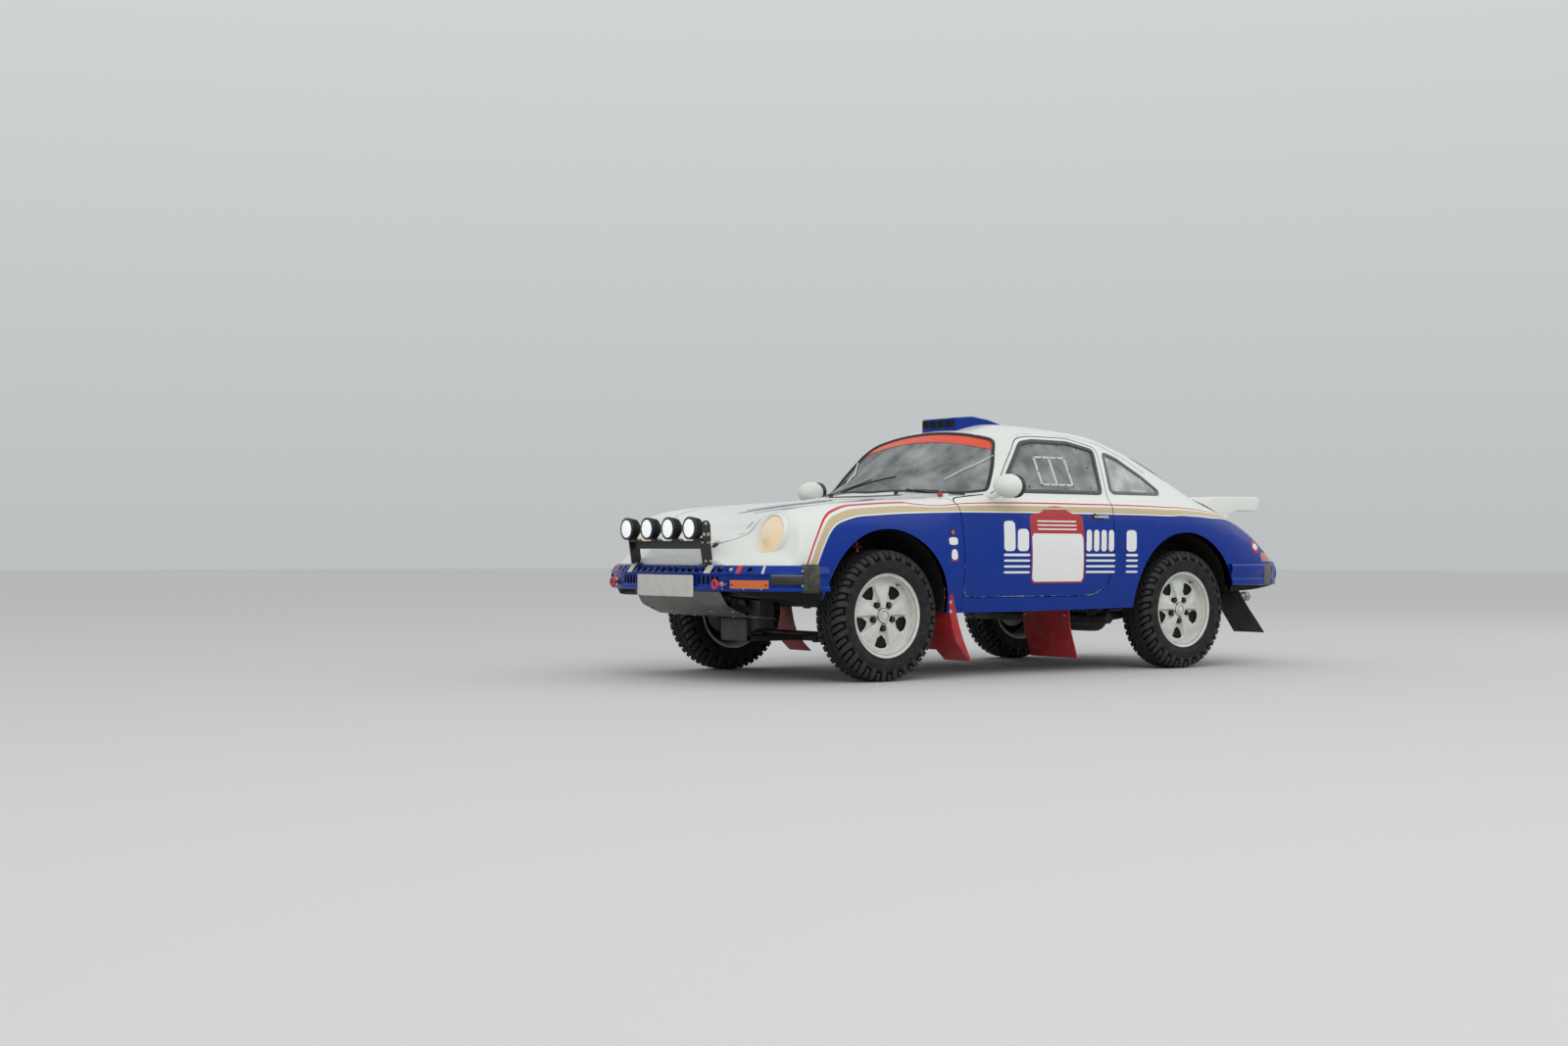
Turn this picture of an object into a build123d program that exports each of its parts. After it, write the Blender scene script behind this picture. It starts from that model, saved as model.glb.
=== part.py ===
from build123d import *
from collections import namedtuple
from math import cos, radians, sin, sqrt
import os

os.makedirs("parts", exist_ok=True)

# A two-door rear-engined rally coupe on raised suspension, standing on its four wheels.
# Frame: +X forward, +Y to the car's left, +Z up, origin on the floor under the middle of its length.
# Lengths are millimetres. A place is a distance behind the front axle, and x_at turns it into X.
# A height is measured from the axle line, because the whole body rides on the wheels.

# Driving dimensions of the whole car
wheelbase = 2272.0
front_reach = 930.0        # front axle to the lenses of the driving lamps
rear_reach = 1060.0        # rear axle to the back of the rear bumper
front_track = 1370.0
rear_track = 1380.0

# Wheels and tyres
tyre_radius = 345.0
tyre_width = 205.0
tyre_shoulder = 34.0       # how far the tread's edge is drawn in from the tyre's width
lug_count = 17             # lands round one tyre, with as many grooves between them
lug_height = 14.0
centre_rib = 26.0          # half width of the rib that no groove cuts
rim_radius = 203.2         # bead seat of a 16 inch wheel
rim_flange = 17.5
rim_width = 165.0
rim_wall = 10.0
hub_radius = 60.0
stub_radius = 22.0
disc_radius = 140.0
disc_thickness = 18.0
spoke_count = 5

# Body walls
wall_side = 55.0           # whole thickness of a door or quarter panel
wall_cabin = 38.0          # pillars, roof and window frames
wall_floor = 30.0
lid_thickness = 24.0
panel_gap = 5.0
hinge_gap = 6.5            # at a panel's hinged edge, where its corner swings past the body
door_rear_gap = 12.0       # wider, so that the door's inner corner swings clear of the pillar
glass_inset = 7.0
glass_thickness = 5.0
arch_radius = 415.0
arch_rise = 38.0           # arch centre above the axle line
well_depth_front = 405.0   # wells reach inwards to this distance from the centre line
well_depth_rear = 520.0
well_wall = 16.0

# Running gear
kingpin_tilt = 14.0        # degrees, leaning in at the top
kingpin_y = 605.0          # kingpin's distance from the centre line at axle height
running_gap = 0.3
pin_clearance = 0.1

axle_z = tyre_radius
x_front = (front_reach + wheelbase + rear_reach) / 2 - front_reach
rear_axle = wheelbase      # the rear axle's place


def x_at(place):
    """X of a place, which is a distance behind the front axle."""
    return x_front - place


# The body's cross sections. Heights are above the axle line, widths are half widths.
# low: lower edge, wide: widest point, crest: fender or belt shoulder, sill: foot of the glass,
# rail: roof edge, mid: centre line
Section = namedtuple(
    "Section",
    "place low_z low_y wide_z wide_y crest_z crest_y sill_z sill_y rail_z rail_y mid_z",
)
SECTIONS = [
    Section(-800, 128, 500, 200, 560, 250, 520, 290, 400, 310, 210, 318),
    Section(-720, 98, 680, 215, 715, 275, 680, 315, 560, 390, 300, 402),
    Section(-625, 90, 735, 240, 778, 320, 745, 375, 600, 425, 400, 452),
    Section(-560, 88, 752, 250, 797, 470, 746, 535, 605, 500, 430, 484),
    Section(-400, 88, 782, 290, 812, 508, 755, 572, 610, 546, 400, 530),
    Section(0, 60, 795, 348, 824, 543, 770, 606, 620, 592, 420, 584),
    Section(400, 8, 785, 348, 816, 563, 770, 626, 640, 632, 420, 630),
    Section(500, 8, 782, 344, 814, 576, 773, 633, 670, 652, 300, 658),
    Section(560, 8, 780, 340, 813, 583, 775, 636, 690, 662, 340, 702),
    Section(660, 8, 780, 340, 813, 588, 777, 638, 710, 657, 551, 775),
    Section(755, 8, 780, 340, 813, 592, 780, 640, 727, 654, 700, 844),
    Section(780, 8, 780, 340, 813, 593, 780, 640, 728, 686, 688, 862),
    Section(868, 8, 780, 340, 813, 595, 781, 641, 736, 795, 646, 938),
    Section(960, 8, 780, 340, 813, 596, 782, 642, 745, 912, 598, 1014),
    Section(1020, 9, 780, 342, 813, 597, 782, 642, 746, 965, 590, 1036),
    Section(1300, 12, 780, 350, 813, 598, 784, 644, 748, 1010, 578, 1085),
    Section(1650, 16, 782, 360, 816, 598, 788, 645, 744, 1000, 562, 1070),
    Section(2000, 22, 786, 380, 820, 594, 792, 648, 722, 922, 535, 1005),
    Section(rear_axle, 60, 798, 398, 828, 582, 800, 645, 690, 830, 512, 920),
    Section(rear_axle + 328, 98, 798, 398, 820, 543, 785, 606, 660, 690, 480, 778),
    Section(rear_axle + 628, 113, 768, 320, 788, 450, 742, 508, 615, 542, 430, 583),
    Section(rear_axle + 808, 128, 722, 280, 742, 358, 700, 396, 590, 420, 420, 446),
    Section(rear_axle + 918, 138, 676, 250, 700, 298, 660, 320, 560, 336, 400, 346),
]
beyond = 1000.0            # further out than any body panel


def section_at(place):
    """The cross section's measures at any place, between the two rows around it."""
    for ahead, behind in zip(SECTIONS, SECTIONS[1:]):
        if place <= behind.place:
            share = (place - ahead.place) / (behind.place - ahead.place)
            return Section(*[a + share * (b - a) for a, b in zip(ahead, behind)])
    return SECTIONS[-1]


def deck_height(place, y):
    """Height of the body's upper skin at a place and a distance from the centre line."""
    row = section_at(place)
    y = abs(y)
    if y <= row.rail_y:
        return row.mid_z - (row.mid_z - row.rail_z) * (y / row.rail_y) ** 2
    share = (y - row.rail_y) / (row.sill_y - row.rail_y)
    return row.rail_z + share * (row.sill_z - row.rail_z)


def section_wire(row, side, roof, floor):
    """One closed cross section, moved inwards by the side, roof and floor wall thicknesses."""
    x = x_at(row.place)

    def point(y, z):
        return Vector(x, y, axle_z + z)

    low = (row.low_y - side, row.low_z + floor)
    wide = (row.wide_y - side, row.wide_z)
    crest = (row.crest_y - side, row.crest_z - roof / 2)
    sill = (row.sill_y - roof, row.sill_z - roof / 2)
    rail = (row.rail_y - roof, row.rail_z - roof)
    edges = [Line(point(-low[0], low[1]), point(*low))]
    for sign in (1, -1):
        a, b, c, d, e = [point(sign * y, z) for y, z in (low, wide, crest, sill, rail)]
        edges += [ThreePointArc(a, b, c), Line(c, d), Line(d, e)]
    edges.append(ThreePointArc(point(*rail), point(0, row.mid_z - roof), point(-rail[0], rail[1])))
    return Wire(edges)


def body_loft(side=0.0, roof=0.0, floor=0.0):
    """The body's volume, its skin moved inwards by wall thicknesses, or outwards if negative."""
    wires = [section_wire(row, side, roof, floor) for row in SECTIONS]
    return Solid.make_loft(wires, ruled=True)


# Helpers: every shape is placed by place, y and height above the axle line


def at(place, y, z):
    return Vector(x_at(place), y, axle_z + z)


def extruded(outline, reach):
    """The polygon through the given points, extruded by a vector."""
    return Solid.extrude(Face(Wire.make_polygon(outline, close=True)), reach)


def side_prism(points, y_from, y_to):
    """A side-view outline of (place, height) pairs, extruded across the car."""
    return extruded([at(p, y_from, z) for p, z in points], Vector(0, y_to - y_from, 0))


def plan_prism(points, z_from, z_to):
    """A plan outline of (place, y) pairs, extruded upwards."""
    return extruded([at(p, y, z_from) for p, y in points], Vector(0, 0, z_to - z_from))


def block(place_from, place_to, y_from, y_to, z_from, z_to):
    size = (place_to - place_from, y_to - y_from, z_to - z_from)
    centre = at((place_from + place_to) / 2, (y_from + y_to) / 2, (z_from + z_to) / 2)
    return Solid.make_box(*size, Plane(centre - Vector(*size) / 2))


def rod(start, end, radius):
    """A round bar between two (place, y, height) points."""
    a, b = at(*start), at(*end)
    return Solid.make_cylinder(radius, (b - a).length, Plane(origin=a, z_dir=b - a))


def cross_rod(place, z, radius, y_from, y_to):
    return rod((place, y_from, z), (place, y_to, z), radius)


def tube_run(points, radius):
    """Round bars through a list of (place, y, height) points, with a ball at each bend."""
    shape = rod(points[0], points[1], radius)
    for start, end in zip(points[1:], points[2:]):
        ball = Solid.make_sphere(radius, Plane(at(*start)), -90, 90, 360)
        shape = shape + ball + rod(start, end, radius)
    return shape


def ring(place, y, z, outer, inner, length, axis):
    """A flat ring centred on a point, its hole along the given axis."""
    direction = Vector(*axis).normalized()
    plane = Plane(origin=at(place, y, z) - direction * (length / 2), z_dir=direction)
    return Solid.make_cylinder(outer, length, plane) - Solid.make_cylinder(inner, length, plane)


def mirrored(shape):
    return mirror(shape, about=Plane.XZ)


def solids_of(*shapes):
    return [s for shape in shapes for s in shape.solids() if s.volume > 50.0]


def save(node, *shapes):
    """One STEP file for a node, which may hold several solids that don't touch."""
    solids = solids_of(*shapes)
    export_step(solids[0] if len(solids) == 1 else Compound(children=solids), f"parts/{node}.step")


def save_pair(node, shape):
    """A node of a left piece and its mirror image."""
    save(node, shape, mirrored(shape))


# Shared volumes

outer = body_loft()
inner = body_loft(wall_side, wall_cabin, wall_floor)
lid_inner = body_loft(lid_thickness, lid_thickness)
glass_outer = body_loft(glass_inset, glass_inset)
glass_inner = body_loft(glass_inset + glass_thickness, glass_inset + glass_thickness, 1)
clear_outer = body_loft(-panel_gap - 1, -panel_gap - 1)

front_well_place = -20.0
rear_well_place = rear_axle - 22.0


def wells(grow):
    """The four wheel wells as cylinders, grown outwards by a wall."""
    shapes = []
    for place, depth in ((front_well_place, well_depth_front), (rear_well_place, well_depth_rear)):
        for sign in (1, -1):
            inside = sign * (depth - grow)
            shapes.append(cross_rod(place, arch_rise, arch_radius + grow, inside, sign * beyond))
    return shapes


# Bulkheads split the hollow body into boot, cabin and engine bay
boot_front = -700.0
boot_top = 585.0
cowl_bulkhead = 440.0
rear_bulkhead = rear_axle + 30.0
bulkhead_thickness = 20.0
engine_bay_rear = rear_axle + 800.0


def hollow(place_from, place_to, top):
    """The body's inside between two places, less the wheel wells and their walls."""
    shape = inner & block(place_from, place_to, -beyond, beyond, -beyond, top)
    for grown in wells(well_wall):
        shape = shape - grown
    return shape


# Doors: outline in side view, front edge first
door_front = 506.0
door_rear = 1640.0
door_hinge_place = 460.0
door_hinge_y = 795.0
door_hinge_heights = (230.0, 440.0)
cowl_half = 706.0          # the cowl beside the windscreen's foot stays with the body out to here
cowl_end = 800.0
DOOR = [
    (door_front, 85), (door_front, 606), (door_front + 40, 632), (808, 650), (1095, 968), (1190, 985),
    (1500, 985), (1730, 940), (door_rear + 14, 640), (door_rear, 300), (door_rear - 30, 170),
    (door_rear - 110, 100), (door_rear - 200, 92),
]
DOOR_WINDOW = [
    (690, 668), (850, 668), (1120, 952), (1200, 966), (1490, 966), (1692, 928), (1618, 668),
]
QUARTER_WINDOW = [(1712, 676), (1782, 915), (1900, 880), (2080, 780), (2175, 700), (2150, 676)]


def door_opening():
    """The door's outline moved out by the gap on each side."""
    middle = 1300
    belt = 400
    moved = []
    for p, z in DOOR:
        along = -6.0 if p < middle else door_rear_gap
        moved.append((p + along, z + panel_gap + 1 if z > belt else z - panel_gap))
    return moved


def door_prism(outline, gap=0.0):
    """A side-view outline as a prism through the left wall, less the cowl and a gap around it."""
    return side_prism(outline, 300, beyond) - block(400, cowl_end + gap, 0, cowl_half + gap, 500, 700)


# Windscreen and rear window: (y, distance up the slope) of the left half, from foot to head
WINDSCREEN_HALF = [(0, 0), (350, 46), (600, 136), (700, 185), (520, 590), (0, 585)]
REAR_WINDOW_HALF = [(385, 0), (440, 485)]


def slope_prism(foot, head, half, reach):
    """A prism square to a sloping window, whose centre line runs from foot to head in side view."""
    low, high = at(foot[0], 0, foot[1]), at(head[0], 0, head[1])
    across = Vector(0, 1, 0)
    up = (high - low).normalized()
    out = across.cross(up)
    outline = half + [(-y, rise) for y, rise in reversed(half) if y > 0]
    return extruded([low + across * y + up * rise - out * reach for y, rise in outline], out * (2 * reach))


windscreen_opening = slope_prism((511, 668), (975, 1022), WINDSCREEN_HALF, 260)
rear_opening = slope_prism((rear_axle + 310, 770), (rear_axle - 130, 975), REAR_WINDOW_HALF, 90)

# Lids: left half of the plan outline, front to rear; the right half mirrors it
front_lid_edge = 404.0
front_lid_hinge_drop = 15.0
LID_HALF = [(-760, 250), (-700, 345), (-560, 425), (-300, 500), (0, 560), (front_lid_edge, 622)]
rear_lid_edge = rear_axle + 400.0
rear_lid_hinge_drop = 20.0
REAR_LID_HALF = [(rear_lid_edge, 385), (rear_axle + 700, 425), (rear_axle + 800, 420)]
hinge_offset = 40.0        # from a lid's edge to its hinge line


def lid_outline(half, front_gap=0.0, side_gap=0.0, rear_gap=0.0):
    """A whole lid outline, moved outwards by its gaps."""
    left = []
    for p, y in half:
        along = -front_gap if p == half[0][0] else rear_gap if p == half[-1][0] else 0
        left.append((p + along, y + side_gap))
    return left + [(p, -y) for p, y in reversed(left)]


front_lid_prism = plan_prism(lid_outline(LID_HALF), 150, 900)
front_lid_hole = plan_prism(lid_outline(LID_HALF, panel_gap, panel_gap, hinge_gap), 280, 900)
for grown_well in wells(well_wall):
    front_lid_hole = front_lid_hole - grown_well
rear_lid_prism = plan_prism(lid_outline(REAR_LID_HALF), 300, 1200)
rear_lid_hole = plan_prism(lid_outline(REAR_LID_HALF, hinge_gap, panel_gap, panel_gap), 330, 1200)

# A lid's hinge: t runs from the hinge line towards the lid along the skin, n is square to the skin
hinge_pin_radius = 5.0
hinge_eye_radius = 9.0
hinge_width = 16.0


class LidHinge:
    def __init__(self, place, z, along, pocket_top):
        self.place, self.z, self.pocket_top = place, z, pocket_top
        size = sqrt(along[0] ** 2 + along[1] ** 2)
        self.t = (along[0] / size, along[1] / size)
        flip = 1 if self.t[0] > 0 else -1
        self.n = (-self.t[1] * flip, self.t[0] * flip)

    def outline(self, points):
        return [
            (self.place + t * self.t[0] + n * self.n[0], self.z + t * self.t[1] + n * self.n[1])
            for t, n in points
        ]

    def pocket(self, y):
        half, top = hinge_width / 2 + 3, self.pocket_top
        return side_prism(self.outline([(-13, top), (70, top), (70, -52), (-13, -52)]), y - half, y + half)

    def pin(self, y):
        half = hinge_width / 2 + 4
        return cross_rod(self.place, self.z, hinge_pin_radius, y - half, y + half)

    def arm(self, y, seat):
        """Gooseneck from the eye down, along under the skin and up to the lid's underside at n = seat."""
        half = hinge_width / 2
        outline = [(-7, 0), (7, 0), (7, -34), (62, -34), (62, seat), (80, seat), (80, -46), (-7, -46)]
        shape = side_prism(self.outline(outline), y - half, y + half)
        shape = shape + cross_rod(self.place, self.z, hinge_eye_radius, y - half, y + half)
        return shape - cross_rod(self.place, self.z, hinge_pin_radius + pin_clearance, y - half, y + half)


front_hinge_y = 400.0
rear_hinge_y = 150.0
front_hinge = LidHinge(
    front_lid_edge + hinge_offset,
    deck_height(front_lid_edge, front_hinge_y) - front_lid_hinge_drop,
    (-1, 0), pocket_top=11,
)
rear_slope = deck_height(rear_axle + 628, 0) - deck_height(rear_axle + 328, 0)
rear_run = sqrt(300 ** 2 + rear_slope ** 2)
rear_t = (300 / rear_run, rear_slope / rear_run)
rear_hinge = LidHinge(
    rear_lid_edge - hinge_offset * rear_t[0] - rear_lid_hinge_drop * -rear_t[1],
    deck_height(rear_lid_edge, 0) - hinge_offset * rear_t[1] - rear_lid_hinge_drop * rear_t[0],
    rear_t, pocket_top=34,
)

# Headlamps stand in round buckets that grow out of the front fenders
lamp_place = -592.0
lamp_y = 592.0
lamp_z = 412.0
lamp_radius = 106.0
lamp_rim = 8.0
lamp_depth = 60.0
lamp_tilt = 14.0
lens_rise = 18.0
lamp_axis = Vector(cos(radians(lamp_tilt)), 0, sin(radians(lamp_tilt)))


def lamp_drum(sign, radius, back, front):
    """A cylinder on the headlamp's axis, between two distances from its rim plane."""
    origin = at(lamp_place, sign * lamp_y, lamp_z) + lamp_axis * back
    return Solid.make_cylinder(radius, front - back, Plane(origin=origin, z_dir=lamp_axis))


# Tail lamps wrap round the rear corners
tail_lamp_zone = block(rear_axle + 700, rear_axle + 930, 420, beyond, 282, 336)
lamp_band = outer - body_loft(30, 30)

# The strut's upper mount hangs from the well's roof, square to the kingpin
strut_radius = 22.0
strut_top = 415.0          # along the kingpin from axle height
mount_radius = 42.0


def kingpin_point(sign, along):
    """A point on the kingpin line, a distance along it above axle height."""
    tilt = radians(kingpin_tilt)
    return (0, sign * (kingpin_y - along * sin(tilt)), along * cos(tilt))


def kingpin_rod(sign, start, end, radius):
    return rod(kingpin_point(sign, start), kingpin_point(sign, end), radius)


# Flat jacking pads under the sills
jack_places = (640.0, 1600.0)
jack_y = 735.0
jack_radius = 22.0
jack_drop = 12.0

# Panels


def pane(opening):
    """The glass that fills an opening, set in from the skin."""
    return (glass_outer & opening) - glass_inner


FENDER_LINE = [(-765, 252), (-700, 347), (-560, 427), (-300, 502), (0, 562), (front_lid_edge + 3, 624)]
fender_rear = door_front - 6.0


def build_shell():
    """The welded body with its bolted front fenders: roof, pillars, quarters, floor, tub and engine bay."""
    shell = outer
    for sign in (1, -1):
        shell = shell + lamp_drum(sign, lamp_radius + lamp_rim, -240, 0)
    shell = shell - hollow(boot_front, cowl_bulkhead, boot_top)
    shell = shell - hollow(cowl_bulkhead + bulkhead_thickness, rear_bulkhead, beyond * 2)
    shell = shell - hollow(rear_bulkhead + bulkhead_thickness, engine_bay_rear, beyond * 2)
    for cut in wells(0):
        shell = shell - cut
    shell = shell - block(rear_bulkhead + bulkhead_thickness, rear_axle + 700, -480, 480, -200, 200)
    for cut in (door_prism(door_opening()), side_prism(QUARTER_WINDOW, 300, beyond)):
        shell = shell - cut - mirrored(cut)
    shell = shell - windscreen_opening - rear_opening
    for hole, hinge, y in (
        (front_lid_hole, front_hinge, front_hinge_y), (rear_lid_hole, rear_hinge, rear_hinge_y),
    ):
        shell = shell - (hole + hinge.pocket(y) + hinge.pocket(-y))
    for sign in (1, -1):
        shell = shell - lamp_drum(sign, lamp_radius, -lamp_depth, 60)
        mount = kingpin_rod(sign, strut_top + running_gap, strut_top + 60, mount_radius)
        shell = shell + mount
        for z in door_hinge_heights:
            y_from, y_to = sorted((sign * 690, sign * (door_hinge_y + hinge_eye_radius)))
            shell = shell - block(door_hinge_place - 11, door_front, y_from, y_to, z - 24, z + 24)
            pin_start = (door_hinge_place, sign * door_hinge_y, z - 25)
            pin_end = (door_hinge_place, sign * door_hinge_y, z + 25)
            shell = shell + rod(pin_start, pin_end, hinge_pin_radius)
        for place in jack_places:
            low = section_at(place).low_z
            foot, head = low - jack_drop, low + 10
            shell = shell + rod((place, sign * jack_y, foot), (place, sign * jack_y, head), jack_radius)
        for hinge, y in ((front_hinge, front_hinge_y), (rear_hinge, rear_hinge_y)):
            shell = shell + hinge.pin(sign * y)
    return shell - (tail_lamp_zone & lamp_band) - (mirrored(tail_lamp_zone) & lamp_band)


def fender_zone():
    outside = [(fender_rear + 1, 690), (fender_rear + 1, beyond), (-850, beyond), (-850, 252)]
    return plan_prism(FENDER_LINE + [(cowl_bulkhead, 690)] + outside, -200, 900)


shell = build_shell()
left_zone = fender_zone()
right_zone = mirrored(left_zone)
save("front_fenders", shell & left_zone, shell & right_zone)
save("body_shell", shell - left_zone - right_zone)

save("windshield", pane(windscreen_opening))
save("rear_window", pane(rear_opening))
save_pair("quarter_windows", pane(side_prism(QUARTER_WINDOW, 300, beyond)))
save_pair("tail_lamps", tail_lamp_zone & lamp_band)


def build_headlamp():
    """A shallow drum with a domed lens, filling its bucket."""
    radius = lamp_radius - running_gap
    lens = lamp_drum(1, radius, running_gap - lamp_depth, 6)
    for share in (0.86, 0.66, 0.36):
        lens = lens + lamp_drum(1, radius * share, 0, 6 + lens_rise * (1 - share ** 2))
    return lens


save_pair("headlamps", build_headlamp())


# Doors
handle_place = 1496.0
handle_length = 104.0
handle_y = 822.0
handle_z = 522.0


def build_door():
    """The left door: panel, window frame and two gooseneck hinge arms, without its glass."""
    panel = (outer & door_prism(DOOR, panel_gap + 1)) - inner
    panel = panel - side_prism(DOOR_WINDOW, 300, beyond)
    inner_face = door_hinge_y - 37
    for z in door_hinge_heights:
        y, reach = door_hinge_y, door_hinge_place
        outline = [
            (reach - 5, y), (reach + 5, y), (reach + 5, y - 44), (reach + 50, y - 44),
            (reach + 50, inner_face + 4), (reach + 92, inner_face + 4), (reach + 92, y - 54),
            (reach - 5, y - 54),
        ]
        arm = plan_prism(outline, z - 20, z + 20)
        arm = arm + rod((reach, y, z - 20), (reach, y, z + 20), hinge_eye_radius - 1)
        bore = hinge_pin_radius + pin_clearance
        panel = panel + arm - rod((reach, y, z - 20), (reach, y, z + 20), bore)
    handle = block(handle_place, handle_place + handle_length, 780, handle_y, handle_z, handle_z + 16)
    return panel + handle


def build_mirror():
    """An egg-shaped housing on a short foot."""
    foot = rod((760, 700, 640), (776, 838, 680), 14)
    housing = Solid.make_sphere(1.0, Plane((0, 0, 0)), -90, 90, 360)
    egg = scale(housing, by=(95, 78, 68))
    return (Pos(*at(772, 868, 692)) * egg + foot) - outer


door = build_door()
door_glass = pane(side_prism(DOOR_WINDOW, 300, beyond))
mirror_left = build_mirror()
save("door_left", door)
save("door_right", mirrored(door))
save("door_left_window", door_glass)
save("door_right_window", mirrored(door_glass))
save("door_left_mirror", mirror_left)
save("door_right_mirror", mirrored(mirror_left))


# Lids and tail


def build_front_lid():
    lid = (outer & front_lid_prism) - lid_inner
    for sign in (1, -1):
        lid = lid + front_hinge.arm(sign * front_hinge_y, front_lid_hinge_drop - lid_thickness + 4)
    return lid


def build_rear_lid():
    lid = (outer & rear_lid_prism) - lid_inner
    seat = rear_lid_hinge_drop - lid_thickness * rear_t[0] - 4
    for sign in (1, -1):
        lid = lid + rear_hinge.arm(sign * rear_hinge_y, seat)
    return lid


spoiler_half = 610.0
SPOILER_SIDE = [
    (rear_axle + 395, 520), (rear_axle + 395, 655), (rear_axle + 440, 676), (rear_axle + 870, 682),
    (rear_axle + 888, 665), (rear_axle + 886, 622), (rear_axle + 860, 596), (rear_axle + 640, 580),
    (rear_axle + 560, 540), (rear_axle + 520, 500),
]


def build_spoiler():
    """A broad flat tail on the engine lid, its wings standing clear of the body beside the lid."""
    tray = side_prism(SPOILER_SIDE, -spoiler_half, spoiler_half)
    tray = tray - outer
    ahead, behind, edge = rear_axle + 300, rear_axle + 1000, 370
    beside = [(ahead, edge), (ahead, beyond), (behind, beyond), (behind, edge)]
    for wing in (plan_prism(beside, 0, 1000), mirrored(plan_prism(beside, 0, 1000))):
        tray = tray - (clear_outer & wing)
    return tray


save("front_lid", build_front_lid())
save("engine_lid", build_rear_lid())
save("tail_spoiler", build_spoiler())

plate_thickness = 6.0

# Bumpers: plan outline of the left half, then the strip of it that stands proud of the body
bumper_low = 130.0
bumper_high = 263.0
FRONT_BUMPER = [
    (-875, 0), (-875, 270), (-852, 480), (-800, 640), (-740, 745), (-660, 812), (-560, 845), (-440, 850),
]
rear_bumper_low = 139.0
rear_bumper_high = 269.0
REAR_BUMPER = [
    (rear_axle + 350, 848), (rear_axle + 560, 838), (rear_axle + 740, 800), (rear_axle + 900, 725),
    (rear_axle + 990, 620), (rear_axle + 1034, 420), (rear_axle + rear_reach - plate_thickness, 262),
    (rear_axle + rear_reach - plate_thickness, 0),
]
front_bellows = (-600.0, -500.0)
rear_bellows = (rear_axle + 690.0, rear_axle + 800.0)


def bumper_ring(half, z_from, z_to, inset=0.0):
    """A bumper's whole outline as a prism, its half outline drawn in by an inset, less the body."""
    left = [(p + inset if p < 0 else p - inset, max(0, y - inset)) for p, y in half]
    whole = left + [(p, -y) for p, y in reversed(left) if y > 0]
    return plan_prism(whole, z_from, z_to) - outer


front_ring = bumper_ring(FRONT_BUMPER, bumper_low, bumper_high)
rear_ring = bumper_ring(REAR_BUMPER, rear_bumper_low, rear_bumper_high)


def strip(places):
    return block(*places, -beyond, beyond, 0, 500)


# A row of slanting slots in the top of the front bumper, clear of the lamp bar's feet
slot_pitch = 52.0
slot_length = 34.0
slot_depth = 16.0
slot_count = 6             # to each side of the middle


def bumper_slots():
    slots = []
    for i in range(slot_count):
        y = slot_pitch * (i + 0.5)
        outline = [(-868, y), (-868, y + 18), (-868 + slot_length, y + 34), (-868 + slot_length, y + 16)]
        slots.append(plan_prism(outline, bumper_high - slot_depth, bumper_high + 10))
    return slots + [mirrored(slot) for slot in slots]


for slot in bumper_slots():
    front_ring = front_ring - slot
indicator_zone = block(-860, -700, 525, 735, 138, 190)
inner_line = [(p + 26, y - 26) for p, y in FRONT_BUMPER[1:]] + [(-440, 0), (-849, 0)]
indicator_band = front_ring - plan_prism(inner_line, 0, 400)
indicator = indicator_zone & indicator_band
front_bumper = front_ring - strip(front_bellows) - indicator - mirrored(indicator)
save("front_bumper", front_bumper)
save("rear_bumper", rear_ring - strip(rear_bellows))
save("bumper_bellows", front_ring & strip(front_bellows), rear_ring & strip(rear_bellows))
save_pair("front_indicators", indicator)

plate_half = 260.0
plate_height = 113.0
front_plate = block(-875 - plate_thickness, -875, -plate_half, plate_half, 98, 98 + plate_height)
rear_plate_place = rear_axle + rear_reach - plate_thickness
rear_plate_end = rear_axle + rear_reach
rear_plate = block(rear_plate_place, rear_plate_end, -plate_half, plate_half, 148, 148 + plate_height)
save("number_plates", front_plate, rear_plate)

tow_eye_y = 480.0
tow_eye_z = 167.0
tow_eye_place = -896.0
tow_eye_bore = 13.0
tow_shaft_radius = 7.5


def build_tow_eye():
    eye = ring(tow_eye_place, tow_eye_y, tow_eye_z, 27, tow_eye_bore, 14, (1, 0, 0))
    beside = tow_eye_y + tow_eye_bore + tow_shaft_radius + 3.5
    shaft = rod((tow_eye_place + 6, beside, tow_eye_z), (-800, beside, tow_eye_z), tow_shaft_radius)
    return eye + (shaft - front_ring - outer)


save_pair("tow_eyes", build_tow_eye())

# Lamp bar and driving lamps above the front bumper
spot_radius = 60.0
spot_depth = 78.0
spot_z = 452.0
spot_pitch = 197.0
spot_bezel = 16.0
fin_height = 8.0
fin_pitch = 12.0
fin_count = 3
bar_z = 366.0
bar_place = -858.0


def build_lamp_bar():
    beam = block(bar_place - 6, bar_place + 6, -336, 336, bar_z - 22, bar_z + 22)
    beam = beam + block(bar_place - 30, bar_place + 30, -336, 336, bar_z + 14, bar_z + 22)
    for sign in (1, -1):
        y_from, y_to = sorted((sign * 330, sign * 340))
        top = bar_z + 22
        foot = [(bar_place - 30, top), (bar_place + 30, top), (-800, bumper_high), (-862, bumper_high)]
        beam = beam + side_prism(foot, y_from, y_to)
    return beam


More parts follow.
